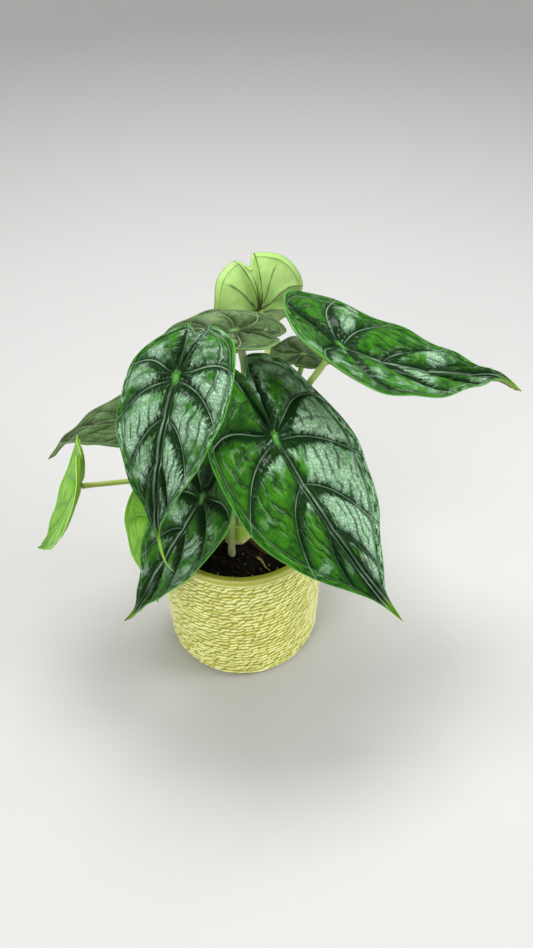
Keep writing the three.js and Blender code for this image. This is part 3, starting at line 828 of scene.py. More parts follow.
@dataclass
class Blade:
    """A leaf's blade as a fine two-sided skin, on the same formulas as its CAD solid."""

    leaf: Leaf
    thickness: float = 1.0
    keel: float = 0.6
    widest: float = 0.335
    rear_length: float = 0.34
    tail_start: float = 0.78
    full_quilt: float = 3.2
    rung_spacing: float = 8.0
    columns_per_rib: int = 17
    rows: int = 38
    spine: dict[str, Array] = field(init=False)

    def __post_init__(self) -> None:
        """Sets a large blade's finer grid and sums up the bent midrib."""
        if self.leaf.large:
            self.columns_per_rib, self.rows = 26, 66
        self.spine = self.midrib()

    def midrib(self) -> dict[str, Array]:
        """Sums up the midrib's direction in small steps, from behind the joint to past the tip.

        At x it dips by -droop x - tail_droop (x - tail_start) / (1 - tail_start) and swings by sway x and
        tail_sway in the same way, and behind the joint it dips by rear.

        Returns:
            Distances along it, its points, and its dip and swing in radians.
        """
        leaf = self.leaf
        x = np.linspace(-0.45, 1.1, 160)
        tail = np.clip((x - self.tail_start) / (1 - self.tail_start), 0, None)
        behind = np.clip(-x, 0, None) / self.rear_length
        ahead = np.clip(x, 0, None)
        dip = np.radians(-leaf.droop * ahead - leaf.tail_droop * tail + leaf.rear * behind)
        swing = np.radians(leaf.sway * ahead + leaf.tail_sway * tail)
        way = np.stack([np.cos(dip) * np.cos(swing), np.sin(swing), np.sin(dip) * np.cos(swing)], -1)
        points = np.vstack([[0, 0, 0], np.cumsum((way[1:] + way[:-1]) / 2, axis=0) * (x[1] - x[0])])
        zero = [np.interp(0, x, points[:, k]) for k in range(3)]
        return {"x": x, "points": (points - zero) * leaf.length, "dip": dip, "swing": swing}

    def station(self, rib: Array, out: Array) -> Array:
        """The outline station that a rib has reached: its own + arch out^1.3 + bow sin(pi out).

        Args:
            rib: rib numbers.
            out: shares of the way from the midrib to the margin.
        Returns:
            The stations.
        """
        numbers = np.arange(LAST_RIB + 1)
        own, arch, bow = (np.interp(rib, numbers, values) for values in (RIB_STATION, RIB_ARCH, RIB_BOW))
        return own + arch * out**1.3 + bow * np.sin(np.pi * out)

    def flat(self, rib: Array, out: Array) -> tuple[Array, Array]:
        """A rib's place in the flat blade, in blade lengths.

        The line to a station runs from its start on the midrib to its point of the outline, start +
        (point - start) out, swept back by 0.035 sin(pi out).

        Args:
            rib: rib numbers.
            out: shares of the way from the midrib to the margin.
        Returns:
            Distance along the midrib and distance across from it.
        """
        station = self.station(rib, out)
        edge = smooth_through(OUTLINE, station)
        start = np.maximum(smooth_through(LINE_START, station)[..., 0], 0)
        swept = np.clip((station - 2) / 3, 0, 1) * np.clip((LAST_STATION - station) / 2, 0, 1)
        along = start + (edge[..., 0] - start) * out - 0.035 * np.sin(np.pi * out) * swept
        return along, np.maximum(edge[..., 1], 0) * out * self.leaf.width

    def settle(self, along: Array, wide: Array, lift: Array) -> Array:
        """Bends flat places into space.

        The place is set on the bent midrib, across it by sin(c w) / c on a curl of curvature c, and off it by
        (cos(c w) - 1) / c + tan(fold) |w| and the lift, then turned and carried to the joint.

        Args:
            along: distance along the midrib in blade lengths.
            wide: signed distance across, w, in blade lengths.
            lift: height over the blade's middle surface in millimetres.
        Returns:
            Points in millimetres.
        """
        leaf, spine = self.leaf, self.spine
        middle = np.stack([np.interp(along, spine["x"], spine["points"][:, k]) for k in range(3)], -1)
        dip, swing = (np.interp(along, spine["x"], spine[key]) for key in ("dip", "swing"))
        level = np.stack([-np.cos(dip) * np.sin(swing), np.cos(swing), -np.sin(dip) * np.sin(swing)], -1)
        upright = np.stack([-np.sin(dip), 0 * dip, np.cos(dip)], -1)
        turn = (np.radians(leaf.twist) * along)[..., None]
        across = level * np.cos(turn) + upright * np.sin(turn)
        normal = upright * np.cos(turn) - level * np.sin(turn)
        curl = np.radians(leaf.cup) / self.widest
        cupped = (np.cos(curl * wide) - 1) / curl
        folded = np.tan(np.radians(leaf.fold)) * (np.hypot(wide, 0.03) - 0.03)
        raised = (cupped + folded) * leaf.length + lift
        sideways = np.sin(curl * wide) / curl * leaf.length
        placed = middle + across * sideways[..., None] + normal * raised[..., None]
        return placed @ leaf.turn().T + np.array(leaf.joint)

    def grid(self) -> tuple[Array, Array]:
        """Rib numbers, closer together near each rib, and shares outwards, closer at the midrib and margin.

        Between two ribs the number is phase - 0.72 sin(2 pi phase) / (2 pi). The shares are spaced by a sum
        of bells.

        Returns:
            The rib numbers and the shares.
        """
        t = np.arange(LAST_RIB * self.columns_per_rib + 1) / self.columns_per_rib
        phase = t - np.floor(t)
        rib = np.floor(t) + phase - 0.72 * np.sin(2 * np.pi * phase) / (2 * np.pi)
        fine = np.linspace(0, 1, 2001)
        crowd = 1 + 2.2 * bell(fine, 0.06) + 2.4 * bell(fine - COLLECTOR, 0.035) + 3 * bell(1 - fine, 0.03)
        share = np.cumsum(crowd) - crowd[0]
        return rib, np.interp(np.linspace(0, 1, self.rows + 1), share / share[-1], fine)

    def measure(self, rib: Array, out: Array, side: int) -> dict[str, Array]:
        """Distances over the smooth blade in millimetres, for the relief and the skin's pattern.

        Args:
            rib: rib numbers on the grid.
            out: shares outwards on the grid.
            side: 1 or -1 for the two halves.
        Returns:
            Arrays on the grid: along and wide in blade lengths, the width of a cell, distances to the
            nearest vein, the midrib, the collecting vein, the margin and the joint, and 0 to 1 for the
            rungs that cross each cell and for the second veins.
        """
        leaf = self.leaf
        along, across = self.flat(rib, out)
        wide = side * across * (1 + side * leaf.skew)
        skin = self.settle(along, wide, np.zeros_like(wide))
        cell = np.linalg.norm(np.gradient(skin, rib[:, 0], axis=0), axis=-1)
        steps = np.linalg.norm(np.diff(skin, axis=1), axis=-1)
        arc = np.hstack([np.zeros((len(rib), 1)), np.cumsum(steps, axis=1)])
        phase = rib - np.floor(rib)
        ribs = np.where(rib < 1, 1 - rib, np.minimum(phase, 1 - phase)) * cell
        middle = np.hypot(across, np.clip(-along, 0, None)) * leaf.length
        between = np.where(rib < 1, (rib + 1) / 2, phase)
        x, y, seed = along * leaf.length + 300, wide * leaf.length + 300, int(abs(leaf.heading))
        drift = lattice(x / 13, y / 13, seed) + 0.4 * lattice(x / 5, y / 5, seed + 5)
        rung = arc / self.rung_spacing - 0.3 * np.sin(np.pi * between) + 0.5 * drift + 0.37 * np.floor(rib)
        dent = bell(rung - np.floor(rung) - 0.5, 0.15) * smooth(arc, 4, 10) * smooth(cell, 4, 10)
        ends = smooth(out, 0.12, 0.3) * smooth(-out, -0.88, -0.75)
        second = bell((between - 0.5) * cell, 1.3) * ends * (rib < 3)
        return {
            "along": along, "wide": wide, "cell": cell, "edge": arc[:, -1:] - arc, "middle": middle,
            "rung": dent * smooth(lattice(x / 7, y / 7, seed + 9), -0.5, 0.2),
            "second": second * UPPER[leaf.skin].second_veins,
            "collector": np.array([np.interp(COLLECTOR, out[0], row) for row in arc])[:, None] - arc,
            "nearest": np.minimum(ribs, middle), "joint": np.hypot(along, wide) * leaf.length,
        }

    def relief(self, rib: Array, out: Array, fields: dict[str, Array], under: bool) -> Array:
        """Height of the skin over the smooth blade, in millimetres.

        The quilt bulges between two ribs, 1 - |2 phase - 1|^2.2, and dies away at the midrib and at the
        collecting vein by sin(pi out)^0.7. Rungs and second veins dent it, and noise makes it lumpy. Each
        vein lies as a fine bell in a wider, sunken one on the upper side and stands proud on the underside.
        The margin waves by sin(pi station) out^4 and rolls.

        Args:
            rib: rib numbers.
            out: shares outwards.
            fields: what measure() gives.
            under: whether this is the underside.
        Returns:
            The height at each grid corner.
        """
        leaf = self.leaf
        strength = leaf.quilt / self.full_quilt
        phase = np.where(rib < 1, (rib + 1) / 2, rib - np.minimum(np.floor(rib), LAST_RIB - 1))
        station = self.station(rib, out)
        bulge = 1 - np.abs(2 * phase - 1) ** 2.2
        inner = np.minimum(out / COLLECTOR, 1)
        window = np.sin(np.pi * inner) ** 0.7 * np.clip((LAST_STATION - station) / 2.5, 0, 1)
        ends = np.clip(np.minimum(station, LAST_STATION - station), 0, 1)
        height = leaf.quilt * bulge * window
        height += leaf.wave * np.sin(np.pi * station + leaf.heading) * out**4 * ends
        rolled = 0.05 if leaf.skin is Skin.PALE_BACK else 1.0
        height -= 1.5 * rolled * strength * fields["rung"] * window * np.clip(bulge * 1.6, 0, 1)
        height -= 1.2 * strength * fields["second"] * window
        seed = int(abs(leaf.heading) * 10)
        x, y = (fields[key] * leaf.length + 200 for key in ("along", "wide"))
        lumps = 0.7 * lattice(x / 5.5, y / 5.5, seed + 1) + 0.35 * lattice(x / 2.4, y / 2.4, seed + 2)
        height += strength * (rolled * lumps + 0.5) * window * bulge
        near, collector = fields["nearest"], np.abs(fields["collector"])
        inside = smooth(fields["edge"], 0.5, 4)
        vein = np.maximum(bell(near, 0.6), 0.8 * bell(collector, 0.6)) * inside
        crease = np.maximum(bell(near, 2.3), 0.8 * rolled * bell(collector, 1.7)) * inside
        height -= (0.4 + 1.3 * strength) * crease * smooth(fields["joint"], 2, 9)
        roll = np.sin(np.pi * np.clip((out - COLLECTOR) / (1 - COLLECTOR), 0, 1))
        height += 0.6 * rolled * strength * roll * ends
        return height - (0.25 + 0.35 * strength) * vein if under else height + (0.1 + 0.2 * strength) * vein

    def skins(self) -> list[bpy.types.Material]:
        """The upper skin with this leaf's own share of silver and tip, and the under skin.

        Returns:
            Both materials, the upper first.
        """
        leaf, finish = self.leaf, UPPER[self.leaf.skin]
        share, bias = leaf.silver
        end = DRY_TIP if leaf.browned else finish.tip_end
        name = f"{finish.name}_{leaf.name}"
        own = replace(finish, name=name, silver_share=share, sheen_bias=bias, tip_end=end)
        return [own.material(), UNDER[leaf.skin].material()]

    def build(self) -> bpy.types.Object:
        """Makes both faces of both halves, meeting in a rounded margin, as one closed mesh.

        The underside lies body sqrt(1 - t^2) below the upper side, with t running from 0 to 1 at the margin.

        Returns:
            The piece with its distance fields, its UV map of rib number and share outwards, and two skins.
        """
        rib_line, out_line = self.grid()
        rib, out = np.meshgrid(rib_line, out_line, indexing="ij")
        rows, columns = rib.shape
        quads = grid_faces(rows, columns)
        cell_of = np.minimum(np.arange(rows - 1) // self.columns_per_rib, LAST_RIB - 1)
        cell_of = np.repeat(cell_of, columns - 1)[:, None]
        rounding = np.sqrt(1 - np.clip((out - 0.972) / 0.028, 0, 1) ** 2)
        body = self.thickness + self.keel * (1 - np.minimum(out / 0.15, 1))
        edge_drop = 0.5 * self.thickness
        points, faces, below, maps = [], [], [], []
        marks: dict[str, list[Array]] = {"vein_gap": [], "edge_gap": [], "rib_place": []}
        for side in (1, -1):
            fields = self.measure(rib, out, side)
            rim = self.relief(rib, out, fields, False)[:, -1] - edge_drop
            for under in (False, True):
                drop = edge_drop * (1 - rounding) + body * rounding * under
                lift = self.relief(rib, out, fields, under) - drop
                lift[:, -1] = rim
                order = quads if (side > 0) == under else quads[:, ::-1]
                faces.append(order + rib.size * len(points))
                points.append(self.settle(fields["along"], fields["wide"], lift).reshape(-1, 3))
                at = {key: values.ravel()[order] for key, values in fields.items()}
                flat_rib, flat_out = rib.ravel()[order], out.ravel()[order]
                phase = flat_rib - cell_of
                before = np.where(cell_of == 0, 1 + phase, phase) * at["cell"]
                beyond = np.where(cell_of == LAST_RIB - 1, 9.0, (1 - phase) * at["cell"])
                marks["vein_gap"].append(np.stack([before, beyond, at["middle"]], -1))
                marks["edge_gap"].append(np.stack([at["edge"], at["collector"], at["along"]], -1))
                marks["rib_place"].append(np.stack([flat_rib, side * flat_out, at["rung"]], -1))
                below.append(np.full(order.size, under))
                maps.append(np.stack([flat_rib / LAST_RIB, 0.25 + 0.5 * under + 0.24 * side * flat_out], -1))
        merged, kept, corners = merge_corners(np.concatenate(points), np.concatenate(faces))
        low, high = (np.array(corner) / MM for corner in CAD_BOX)
        merged = np.clip(merged, low + 0.01, high - 0.01)
        piece = make_piece(f"Blade_{self.leaf.name}", merged, kept, self.skins())
        for name, values in marks.items():
            corner_vectors(piece, name, np.concatenate(values).reshape(-1, 3)[corners])
        layer = piece.data.uv_layers.new(name="Place")
        layer.data.foreach_set("uv", np.concatenate(maps).reshape(-1, 2)[corners].astype(np.float32).ravel())
        starts = np.zeros(len(piece.data.polygons), int)
        piece.data.polygons.foreach_get("loop_start", starts)
        under_face = np.concatenate(below)[corners][starts]
        piece.data.polygons.foreach_set("material_index", under_face.astype(int))
        return piece


def merge_corners(points: Array, faces: Array) -> tuple[Array, list, Array]:
    """Merges corners that share a place and drops what has no area.

    Args:
        points: corners in millimetres.
        faces: four corner numbers for each face.
    Returns:
        The merged corners, the faces as lists, and for each kept face corner its number in faces.ravel().
    """
    keys = np.round(points * 2e4).astype(np.int64)
    _, first, number = np.unique(keys, axis=0, return_index=True, return_inverse=True)
    named = number.reshape(-1)[faces]
    keep = named != np.roll(named, -1, axis=1)
    sides = keep.sum(axis=1)
    whole, clipped = np.nonzero(sides == 4)[0], np.nonzero(sides == 3)[0]
    slots = np.arange(faces.size).reshape(faces.shape)
    kept = named[whole].tolist() + named[clipped][keep[clipped]].reshape(-1, 3).tolist()
    corners = np.concatenate([slots[whole].ravel(), slots[clipped][keep[clipped]].ravel()])
    return points[first], kept, corners


@dataclass
class Stalk:
    """A leaf's stalk: a ridged tube along a curve from the stem or the potting mix to the blade."""

    leaf: Leaf
    finish: StalkFinish
    stem: tuple[float, float, float] = (-3, -6, 124.3)
    ring: float = 5.9
    clearance: float = 107
    foot_depth: float = 14
    foot_steps: int = 8
    sides: int = 28
    steps: int = 72

    def route(self) -> Array:
        """The curve's four control points: rising straight from its foot and meeting the blade square on.

        Returns:
            One row for each point, from the foot to the blade.
        """
        leaf = self.leaf
        normal = leaf.turn() @ np.array([0, 0, 1.0])
        arrival = unit(normal + np.array(leaf.lean))
        tilt = np.linalg.norm(np.cross(arrival, normal))
        top = np.array(leaf.joint) - normal * (1.9 + leaf.radii[1] * tilt)
        if leaf.foot:
            base = np.array([*leaf.foot, self.clearance])
        else:
            reach = 0 if leaf.slot is None else self.ring
            angle = np.radians(leaf.slot or 0)
            base = np.array(self.stem) + reach * np.array([np.cos(angle), np.sin(angle), 0])
        span = np.linalg.norm(top - base)
        rise, approach = leaf.handles
        return np.stack([base, base + [0, 0, rise * span], top - arrival * approach * span, top])

    def build(self) -> bpy.types.Object:
        """Carries a ridged round section along the curve, swollen a little at its foot and under the blade.

        The curve is the cubic (1-t)^3 a + 3(1-t)^2 t b + 3(1-t) t^2 c + t^3 d of its control points.

        Returns:
            The piece, closed at both ends.
        """
        leaf = self.leaf
        a, b, c, d = self.route()
        t = np.linspace(0, 1, self.steps)[:, None]
        line = (1 - t) ** 3 * a + 3 * (1 - t) ** 2 * t * b + 3 * (1 - t) * t**2 * c + t**3 * d
        way = unit(3 * (1 - t) ** 2 * (b - a) + 6 * (1 - t) * t * (c - b) + 3 * t**2 * (d - c))
        share = t[:, 0]
        upright = np.array([0, 0, 1.0])
        if leaf.foot:
            below = np.linspace(-self.foot_depth, 0, self.foot_steps, endpoint=False)[:, None] * upright + a
            line, way = np.vstack([below, line]), np.vstack([np.tile(upright, (self.foot_steps, 1)), way])
            share = np.concatenate([np.zeros(self.foot_steps), share])
        up = unit(np.cross(way, unit(np.cross(upright, d - a + [1e-6, 0, 0]))))
        start, end = leaf.radii
        spread = 0.03 + 0.05 * (leaf.swell > 1)
        radius = start + (end - start) * share + 0.25 * bell(share, 0.07)
        radius += leaf.swell * bell(1 - share, spread)
        turn = turns(self.sides)
        groove = 0.09 * bell(np.cos(turn / 2), 0.25)[None] * (1 - share)[:, None]
        reach = radius[:, None] * (1 + 0.028 * np.cos(7 * turn)[None] - groove)
        rings = tube(line, np.cross(up, way), up, reach, turn)
        values = round_values(share, turn)
        return ring_piece(f"Stalk_{leaf.name}", rings, self.finish.material(), "stalk_place", values)


@dataclass
class DripTip:
    """The long hooked end of a blade's tip, a tapered strap that hangs from the tip and curls sideways."""

    leaf: Leaf
    finish: StalkFinish
    stops: tuple[tuple[float, float, float], ...] = (
        (0, 0.4, 5), (0.1, 0, 0), (0.2, 1.4, -9), (0.6, 2.6, -18), (2.0, 3.4, -26), (5.2, 2.8, -31),
    )
    width: float = 0.95
    sides: int = 12
    steps: int = 60

    def build(self) -> bpy.types.Object:
        """Carries a flattened oval along a smooth curve through the stops, its width (1 - 0.8 share^2).

        Returns:
            The piece, closed at both ends.
        """
        anchor = Blade(self.leaf).settle(np.array([1.0]), np.array([0.0]), np.array([-0.5]))[0]
        share = np.linspace(0, 1, self.steps)
        line = smooth_through(np.array(self.stops) + anchor, share * (len(self.stops) - 1))
        way = unit(np.gradient(line, axis=0))
        side = unit(np.cross(way, [0, 1.0, 0]))
        reach = self.width * (1 - 0.8 * share[:, None] ** 2)
        turn = turns(self.sides)
        rings = tube(line, side, np.cross(side, way), reach, turn, flat=0.6)
        values = round_values(0.6 + 0.4 * share, turn)
        return ring_piece(f"Drip_Tip_{self.leaf.name}", rings, self.finish.material(), "stalk_place", values)


@dataclass
class Pot:
    """The glazed cylinder pot, its wall covered with rows of raised, slightly slanted stitches."""

    finish: GlazeFinish
    height: float = 122
    rim: float = 60
    foot: float = 58.2
    corner: float = 7
    wall: float = 4.8
    floor: float = 6
    lowest_row: float = 5.0
    band: float = 6.2
    lip: float = 1.4
    hub: float = 0.4
    pitch: float = 3.77
    relief: float = 1.25
    stitch: float = 5.8
    slant: float = 1.6
    around: int = 480
    samples_per_row: int = 6

    def radius(self, z: Array) -> Array:
        """Outside radius at a height: a quarter circle at the foot, then a straight, widening wall.

        Args:
            z: heights.
        Returns:
            The radius at each height.
        """
        low = self.foot - self.corner + np.sqrt(np.clip(self.corner**2 - (self.corner - z) ** 2, 0, None))
        straight = self.foot + (self.rim - self.foot) * (z - self.corner) / (self.height - self.corner)
        return np.where(z < self.corner, low, straight)

    def stitches(self, turn: Array, z: Array, low: float, high: float) -> Array:
        """Height of the stitched relief, 0 between stitches and 1 on the proudest.

        Each row holds capsules end to end, each with its own length, lift, slant and size from a seeded draw.
        A point takes the highest of its own row's and its two neighbours' capsules, each of them
        sqrt(1 - (distance / half)^2) high.

        Args:
            turn: angle round the pot.
            z: height.
            low: bottom of the lowest row.
            high: top of the highest row.
        Returns:
            The relief at each place.
        """
        rows = int(round((high - low) / self.pitch))
        pitch = (high - low) / rows
        count = int(2 * np.pi * self.rim / self.stitch)
        rng = np.random.default_rng(11)
        jitter = rng.uniform(-0.42, 0.42, (rows, count))
        spans = ((-0.6, 0.6), (0.7, 1.35), (0.6, 1.0), (0.3 * self.slant, 1.5 * self.slant))
        lift, size, proud, slant = (rng.uniform(a, b, (rows, count)) for a, b in spans)
        z = z + 0.45 * lattice(turn * 14, z / 5, 21) * smooth(z, low, low + 4) * smooth(high - z, 0, 4)
        shift = rng.uniform(0, count, rows)
        best = np.zeros_like(z)
        home = np.floor((z - low) / pitch).astype(int)
        for offset in (-1, 0, 1):
            row = np.clip(home + offset, 0, rows - 1)
            place = turn * count / (2 * np.pi) + shift[row]
            k = np.floor(place).astype(int)
            k = k - (place - k < jitter[row, k % count])
            k = k + (place - k > 1 + jitter[row, (k + 1) % count])
            start, end = k + jitter[row, k % count], k + 1 + jitter[row, (k + 1) % count]
            own = row, k % count
            local = 2 * (place - start) / (end - start) - 1
            centre = low + (row + 0.5) * pitch + 0.5 * slant[own] * local + lift[own]
            half = 0.27 * pitch * size[own] * np.sqrt(np.clip(1 - np.abs(local) ** 3, 0, 1)) + 1e-6
            best = np.maximum(best, np.sqrt(np.clip(1 - ((z - centre) / half) ** 2, 0, 1)) * proud[own])
        return best

    def build(self) -> bpy.types.Object:
        """Turns the profile round the pot's axis and raises the stitches off its wall.

        Returns:
            The piece, closed, with the relief's height and the painted highlight lines at the rim as an
            attribute.
        """
        low, high = self.lowest_row, self.height - self.band
        rows = int(round((high - low) / self.pitch))
        foot_z = self.corner * (1 - np.cos(np.linspace(0, 0.78, 8)))
        foot_z = foot_z[foot_z < low - 0.4]
        outer_z = np.concatenate([foot_z, np.linspace(low, high, rows * self.samples_per_row + 1)])
        outer_r = self.radius(outer_z)
        edge = np.radians(np.linspace(0, 90, 6))
        rim, lip = self.rim, self.lip
        lip_r = np.concatenate([[rim - 0.5, rim - 0.05, rim], rim - lip + lip * np.cos(edge)])
        lip_z = np.concatenate([[high + 0.35, high + 0.9, high + 2], self.height - lip + lip * np.sin(edge)])
        inner = self.foot - self.wall
        mouth, floor = rim - self.wall, self.floor
        in_r = np.concatenate([mouth + lip - lip * np.sin(edge), [mouth, inner, inner - 3, self.hub]])
        in_z = np.concatenate([self.height - lip + lip * np.cos(edge), [60, floor + 2, floor, floor]])
        radii = np.concatenate([[self.hub, outer_r[0] - 1.2], outer_r, lip_r, in_r])
        heights = np.concatenate([[0, 0], outer_z, lip_z, in_z])
        z, angle = np.meshgrid(heights, turns(self.around), indexing="ij")
        r = np.repeat(radii[:, None], self.around, axis=1)
        top = 2 + len(outer_z)
        band = slice(2 + len(foot_z), top)
        raised = self.stitches(angle[band], z[band], low, high)
        ragged = 0.12 * lattice(angle[band] * 61, z[band] * 0.9, 5)
        fade = smooth(z[band], low, low + 1.5) * smooth(high - z[band], -0.2, 0.9)
        r[band] += (self.relief * raised + ragged - 0.5 * self.relief) * fade
        level, rim_highlight = np.full_like(r, 0.12), np.zeros_like(r)
        level[band] = np.where(fade > 0.3, raised, 0.3)
        # Painted highlights: pale lines where the rim band meets the lip and on the lip's rounded top.
        rim_highlight[top - 1 : top + 2] = 0.9
        rim_highlight[top + 4 : top + 8] = 0.25
        values = np.stack([level, rim_highlight, 0 * rim_highlight], -1)
        return ring_piece("Pot_Stitched_Glaze", turned(r, angle, z), self.finish.material(), "stitch", values)


@dataclass
class PottingMix:
    """The potting mix: a crumbly crown strewn with bark, perlite, roots and a twig."""

    crumbs: GrainFinish
    bark: GrainFinish
    perlite: GrainFinish
    root: GrainFinish
    edge: float = 102.5
    crown: float = 106.5
    bottom: float = 6.3
    reach: float = 54.7
    stem: tuple[float, float] = (-3, -6)
    stem_clearance: float = 12.5

    def surface(self, x: Array, y: Array) -> Array:
        """Height of the mix: crown + (edge - crown) share^2, roughened by three sizes of noise.

        Args:
            x: places to the right.
            y: places to the back.
        Returns:
            The height at each place.
        """
        share = np.clip(np.hypot(x, y) / self.reach, 0, 1)
        rough = lattice(x / 9 + 20, y / 9 + 20, 1) + 0.8 * lattice(x / 3.4 + 20, y / 3.4 + 20, 2)
        rough += 0.45 * lattice(x / 1.3 + 60, y / 1.3 + 60, 3)
        return self.crown + (self.edge - self.crown) * share**2 + rough

    def build(self) -> list[bpy.types.Object]:
        """Makes the mix as a closed disc over a plug, then its bits and roots.

        Returns:
            The mix first, then what lies on it.
        """
        r = np.concatenate([[0.3], np.linspace(0.5, self.reach, 64), [self.reach - 0.3, 53.0, 0.3]])
        angle, radius = np.meshgrid(turns(200), r)
        z = self.surface(radius * np.cos(angle), radius * np.sin(angle))
        z[-3], z[-2], z[-1] = self.edge - 5, self.bottom, self.bottom
        mix = ring_piece("Potting_Mix", turned(radius, angle, z), self.crumbs.material(), inward=True)
        bark = self.scatter("Bark_Bits", 300, (0.7, 2.0), (1.5, 0.9, 0.55), self.bark, 8)
        perlite = self.scatter("Perlite_Bits", 70, (0.45, 1.0), (1.1, 1.0, 0.9), self.perlite, 9)
        return [mix, bark, perlite, *self.strands()]

    def scatter(self, name: str, count: int, sizes: tuple[float, float], shape: tuple[float, float, float],
                finish: GrainFinish, seed: int) -> bpy.types.Object:
        """Strews lumps over the mix, clear of the stem and the rim, half sunk.

        Args:
            name: the piece's name.
            count: how many lumps are drawn, before those under the stem are left out.
            sizes: least and greatest radius in millimetres.
            shape: stretch along, across and up.
            finish: the lumps' finish.
            seed: picks the draw.
        Returns:
            One mesh of all the lumps.
        """
        rng = np.random.default_rng(seed)
        away = np.sqrt(rng.uniform(0.04, 0.9, count)) * (self.reach - 2)
        angle = rng.uniform(0, 2 * np.pi, count)
        centre = np.stack([away * np.cos(angle), away * np.sin(angle)], -1)
        centre = centre[np.hypot(*(centre - self.stem).T) > self.stem_clearance]
        count = len(centre)
        latitude = np.radians([-90, -45, 0, 40, 90])
        lat, lon = np.meshgrid(latitude, turns(6), indexing="ij")
        ball = turned(np.cos(lat), lon, np.sin(lat)).reshape(-1, 3)
        size = rng.uniform(*sizes, (count, 1, 1))
        lump = ball[None] * np.array(shape) * size * rng.uniform(0.75, 1.25, (count, len(ball), 1))
        spin = rng.uniform(0, 2 * np.pi, count)
        cos, sin = np.cos(spin)[:, None], np.sin(spin)[:, None]
        x = lump[..., 0] * cos - lump[..., 1] * sin + centre[:, :1]
        y = lump[..., 0] * sin + lump[..., 1] * cos + centre[:, 1:]
        z = lump[..., 2] + self.surface(centre[:, 0], centre[:, 1])[:, None] + 0.25 * size[..., 0]
        quads = grid_faces(len(latitude), 6, closed=True)
        faces = (quads[None] + len(ball) * np.arange(count)[:, None, None]).reshape(-1, 4)
        merged, kept, _ = merge_corners(np.stack([x, y, z], -1).reshape(-1, 3), faces)
        return make_piece(name, merged, kept, [finish.material()])

    def strands(self) -> list[bpy.types.Object]:
        """Two reddish roots and a pale twig lying on the mix, each a tapered tube on a smooth curve.

        Each is given by its thickness, its finish and its stops, which are x, y and height over the mix.

        Returns:
            The three pieces.
        """
        laid = {
            "Root_Long": (1.1, self.root, (6.5, -13.5, 4.2), (12, -19, 2.4), (17, -23, 1.2),
                          (24, -25.5, 0.4)),
            "Root_Short": (0.9, self.root, (-11, -14, 3), (-16, -17, 1.8), (-21, -16, 0.7), (-25, -19, 0.2)),
            "Twig": (0.85, self.perlite, (12, -27, 1.3), (15.5, -31, 1.5), (17.5, -35, 1.2), (21, -38, 0.9)),
        }
        made = []
        turn = turns(10)
        for name, (thick, finish, *stops) in laid.items():
            t = np.linspace(0, len(stops) - 1, 26)
            line = smooth_through(np.array(stops), t)
            line[:, 2] += self.surface(line[:, 0], line[:, 1])
            way = unit(np.gradient(line, axis=0))
            side = unit(np.cross(way, [0, 0, 1.0]))
            knobs = 1 + 0.2 * lattice(t[:, None] * 3, turn[None] + 9, 6)
            radius = thick * (1 - 0.55 * t / t[-1])[:, None] * knobs
            rings = tube(line, side, np.cross(side, way), radius, turn)
            made.append(ring_piece(name, rings, finish.material()))
        return made


@dataclass
class StemBase:
    """The short thick stem of wrapped sheaths, with a torn papery collar over the potting mix.

    knots are heights with the stem's radius there.
    """

    finish: SheathFinish
    x: float = -3
    y: float = -6
    bottom: float = 84
    top: float = 124
    rounding: float = 1.5
    collar: float = 108.2
    paper: float = 0.35
    knots: tuple[tuple[float, float], ...] = (
        (84, 6.5), (100, 8.6), (106, 10.0), (109, 10.3), (112, 9.4), (118, 9.2), (124, 9.4),
    )

    def build(self) -> list[bpy.types.Object]:
        """Turns a lobed profile, radius (1 + 0.035 cos(5 angle) + noise), and adds the collar.

        Returns:
            The stem and the collar.
        """
        shoulder, bend = self.top - self.rounding, np.radians(np.linspace(15, 90, 6))
        z = np.concatenate([[self.bottom], np.linspace(self.bottom + 0.5, shoulder, 60)])
        z = np.concatenate([z, shoulder + self.rounding * np.sin(bend)])
        radius = np.interp(z, *np.array(self.knots).T)
        radius[-len(bend):] -= self.rounding * (1 - np.cos(bend))
        height, angle = np.meshgrid(z, turns(120), indexing="ij")
        folds = 0.035 * np.cos(5 * angle + 0.6 * np.sin(height * 0.2))
        folds += 0.012 * lattice(angle * 9, height * 0.12 + 30, 4)
        rings = turned(radius[:, None] * (1 + folds), angle, height, self.x, self.y)
        values = np.stack([height, np.cos(angle), bell(height - self.collar, 2.5) * 0.75], -1)
        stem = ring_piece("Stem_Sheaths", rings, self.finish.material(), "sheath_place", values)
        return [stem, self.skirt()]

    def skirt(self) -> bpy.types.Object:
        """A thin ring that flares from the sheaths by 1.6 share^1.6, its edge torn by noise, thick as paper.

        Returns:
            The collar.
        """
        share, angle = np.meshgrid(np.linspace(0, 1, 9), turns(160), indexing="ij")
        torn = 0.75 + 0.35 * lattice(angle * 7, 0 * angle + 3.5, 8)
        radius = 9.9 + 1.6 * share**1.6 + 0.35 * np.sin(9 * angle) * share
        height = self.collar + 3.4 - 4.2 * share * torn + 0.35 * lattice(angle * 11, share * 3 + 5, 9)
        values = np.stack([height, np.cos(angle), 0.35 + 0.65 * share], -1)
        rings = turned(radius, angle, height, self.x, self.y)
        piece = ring_piece("Papery_Collar", rings, self.finish.material(), "sheath_place", values,
                           ends=(False, False), inward=True)
        shell = piece.modifiers.new("Paper", "SOLIDIFY")
        shell.thickness, shell.offset = self.paper * MM, 0
        return piece


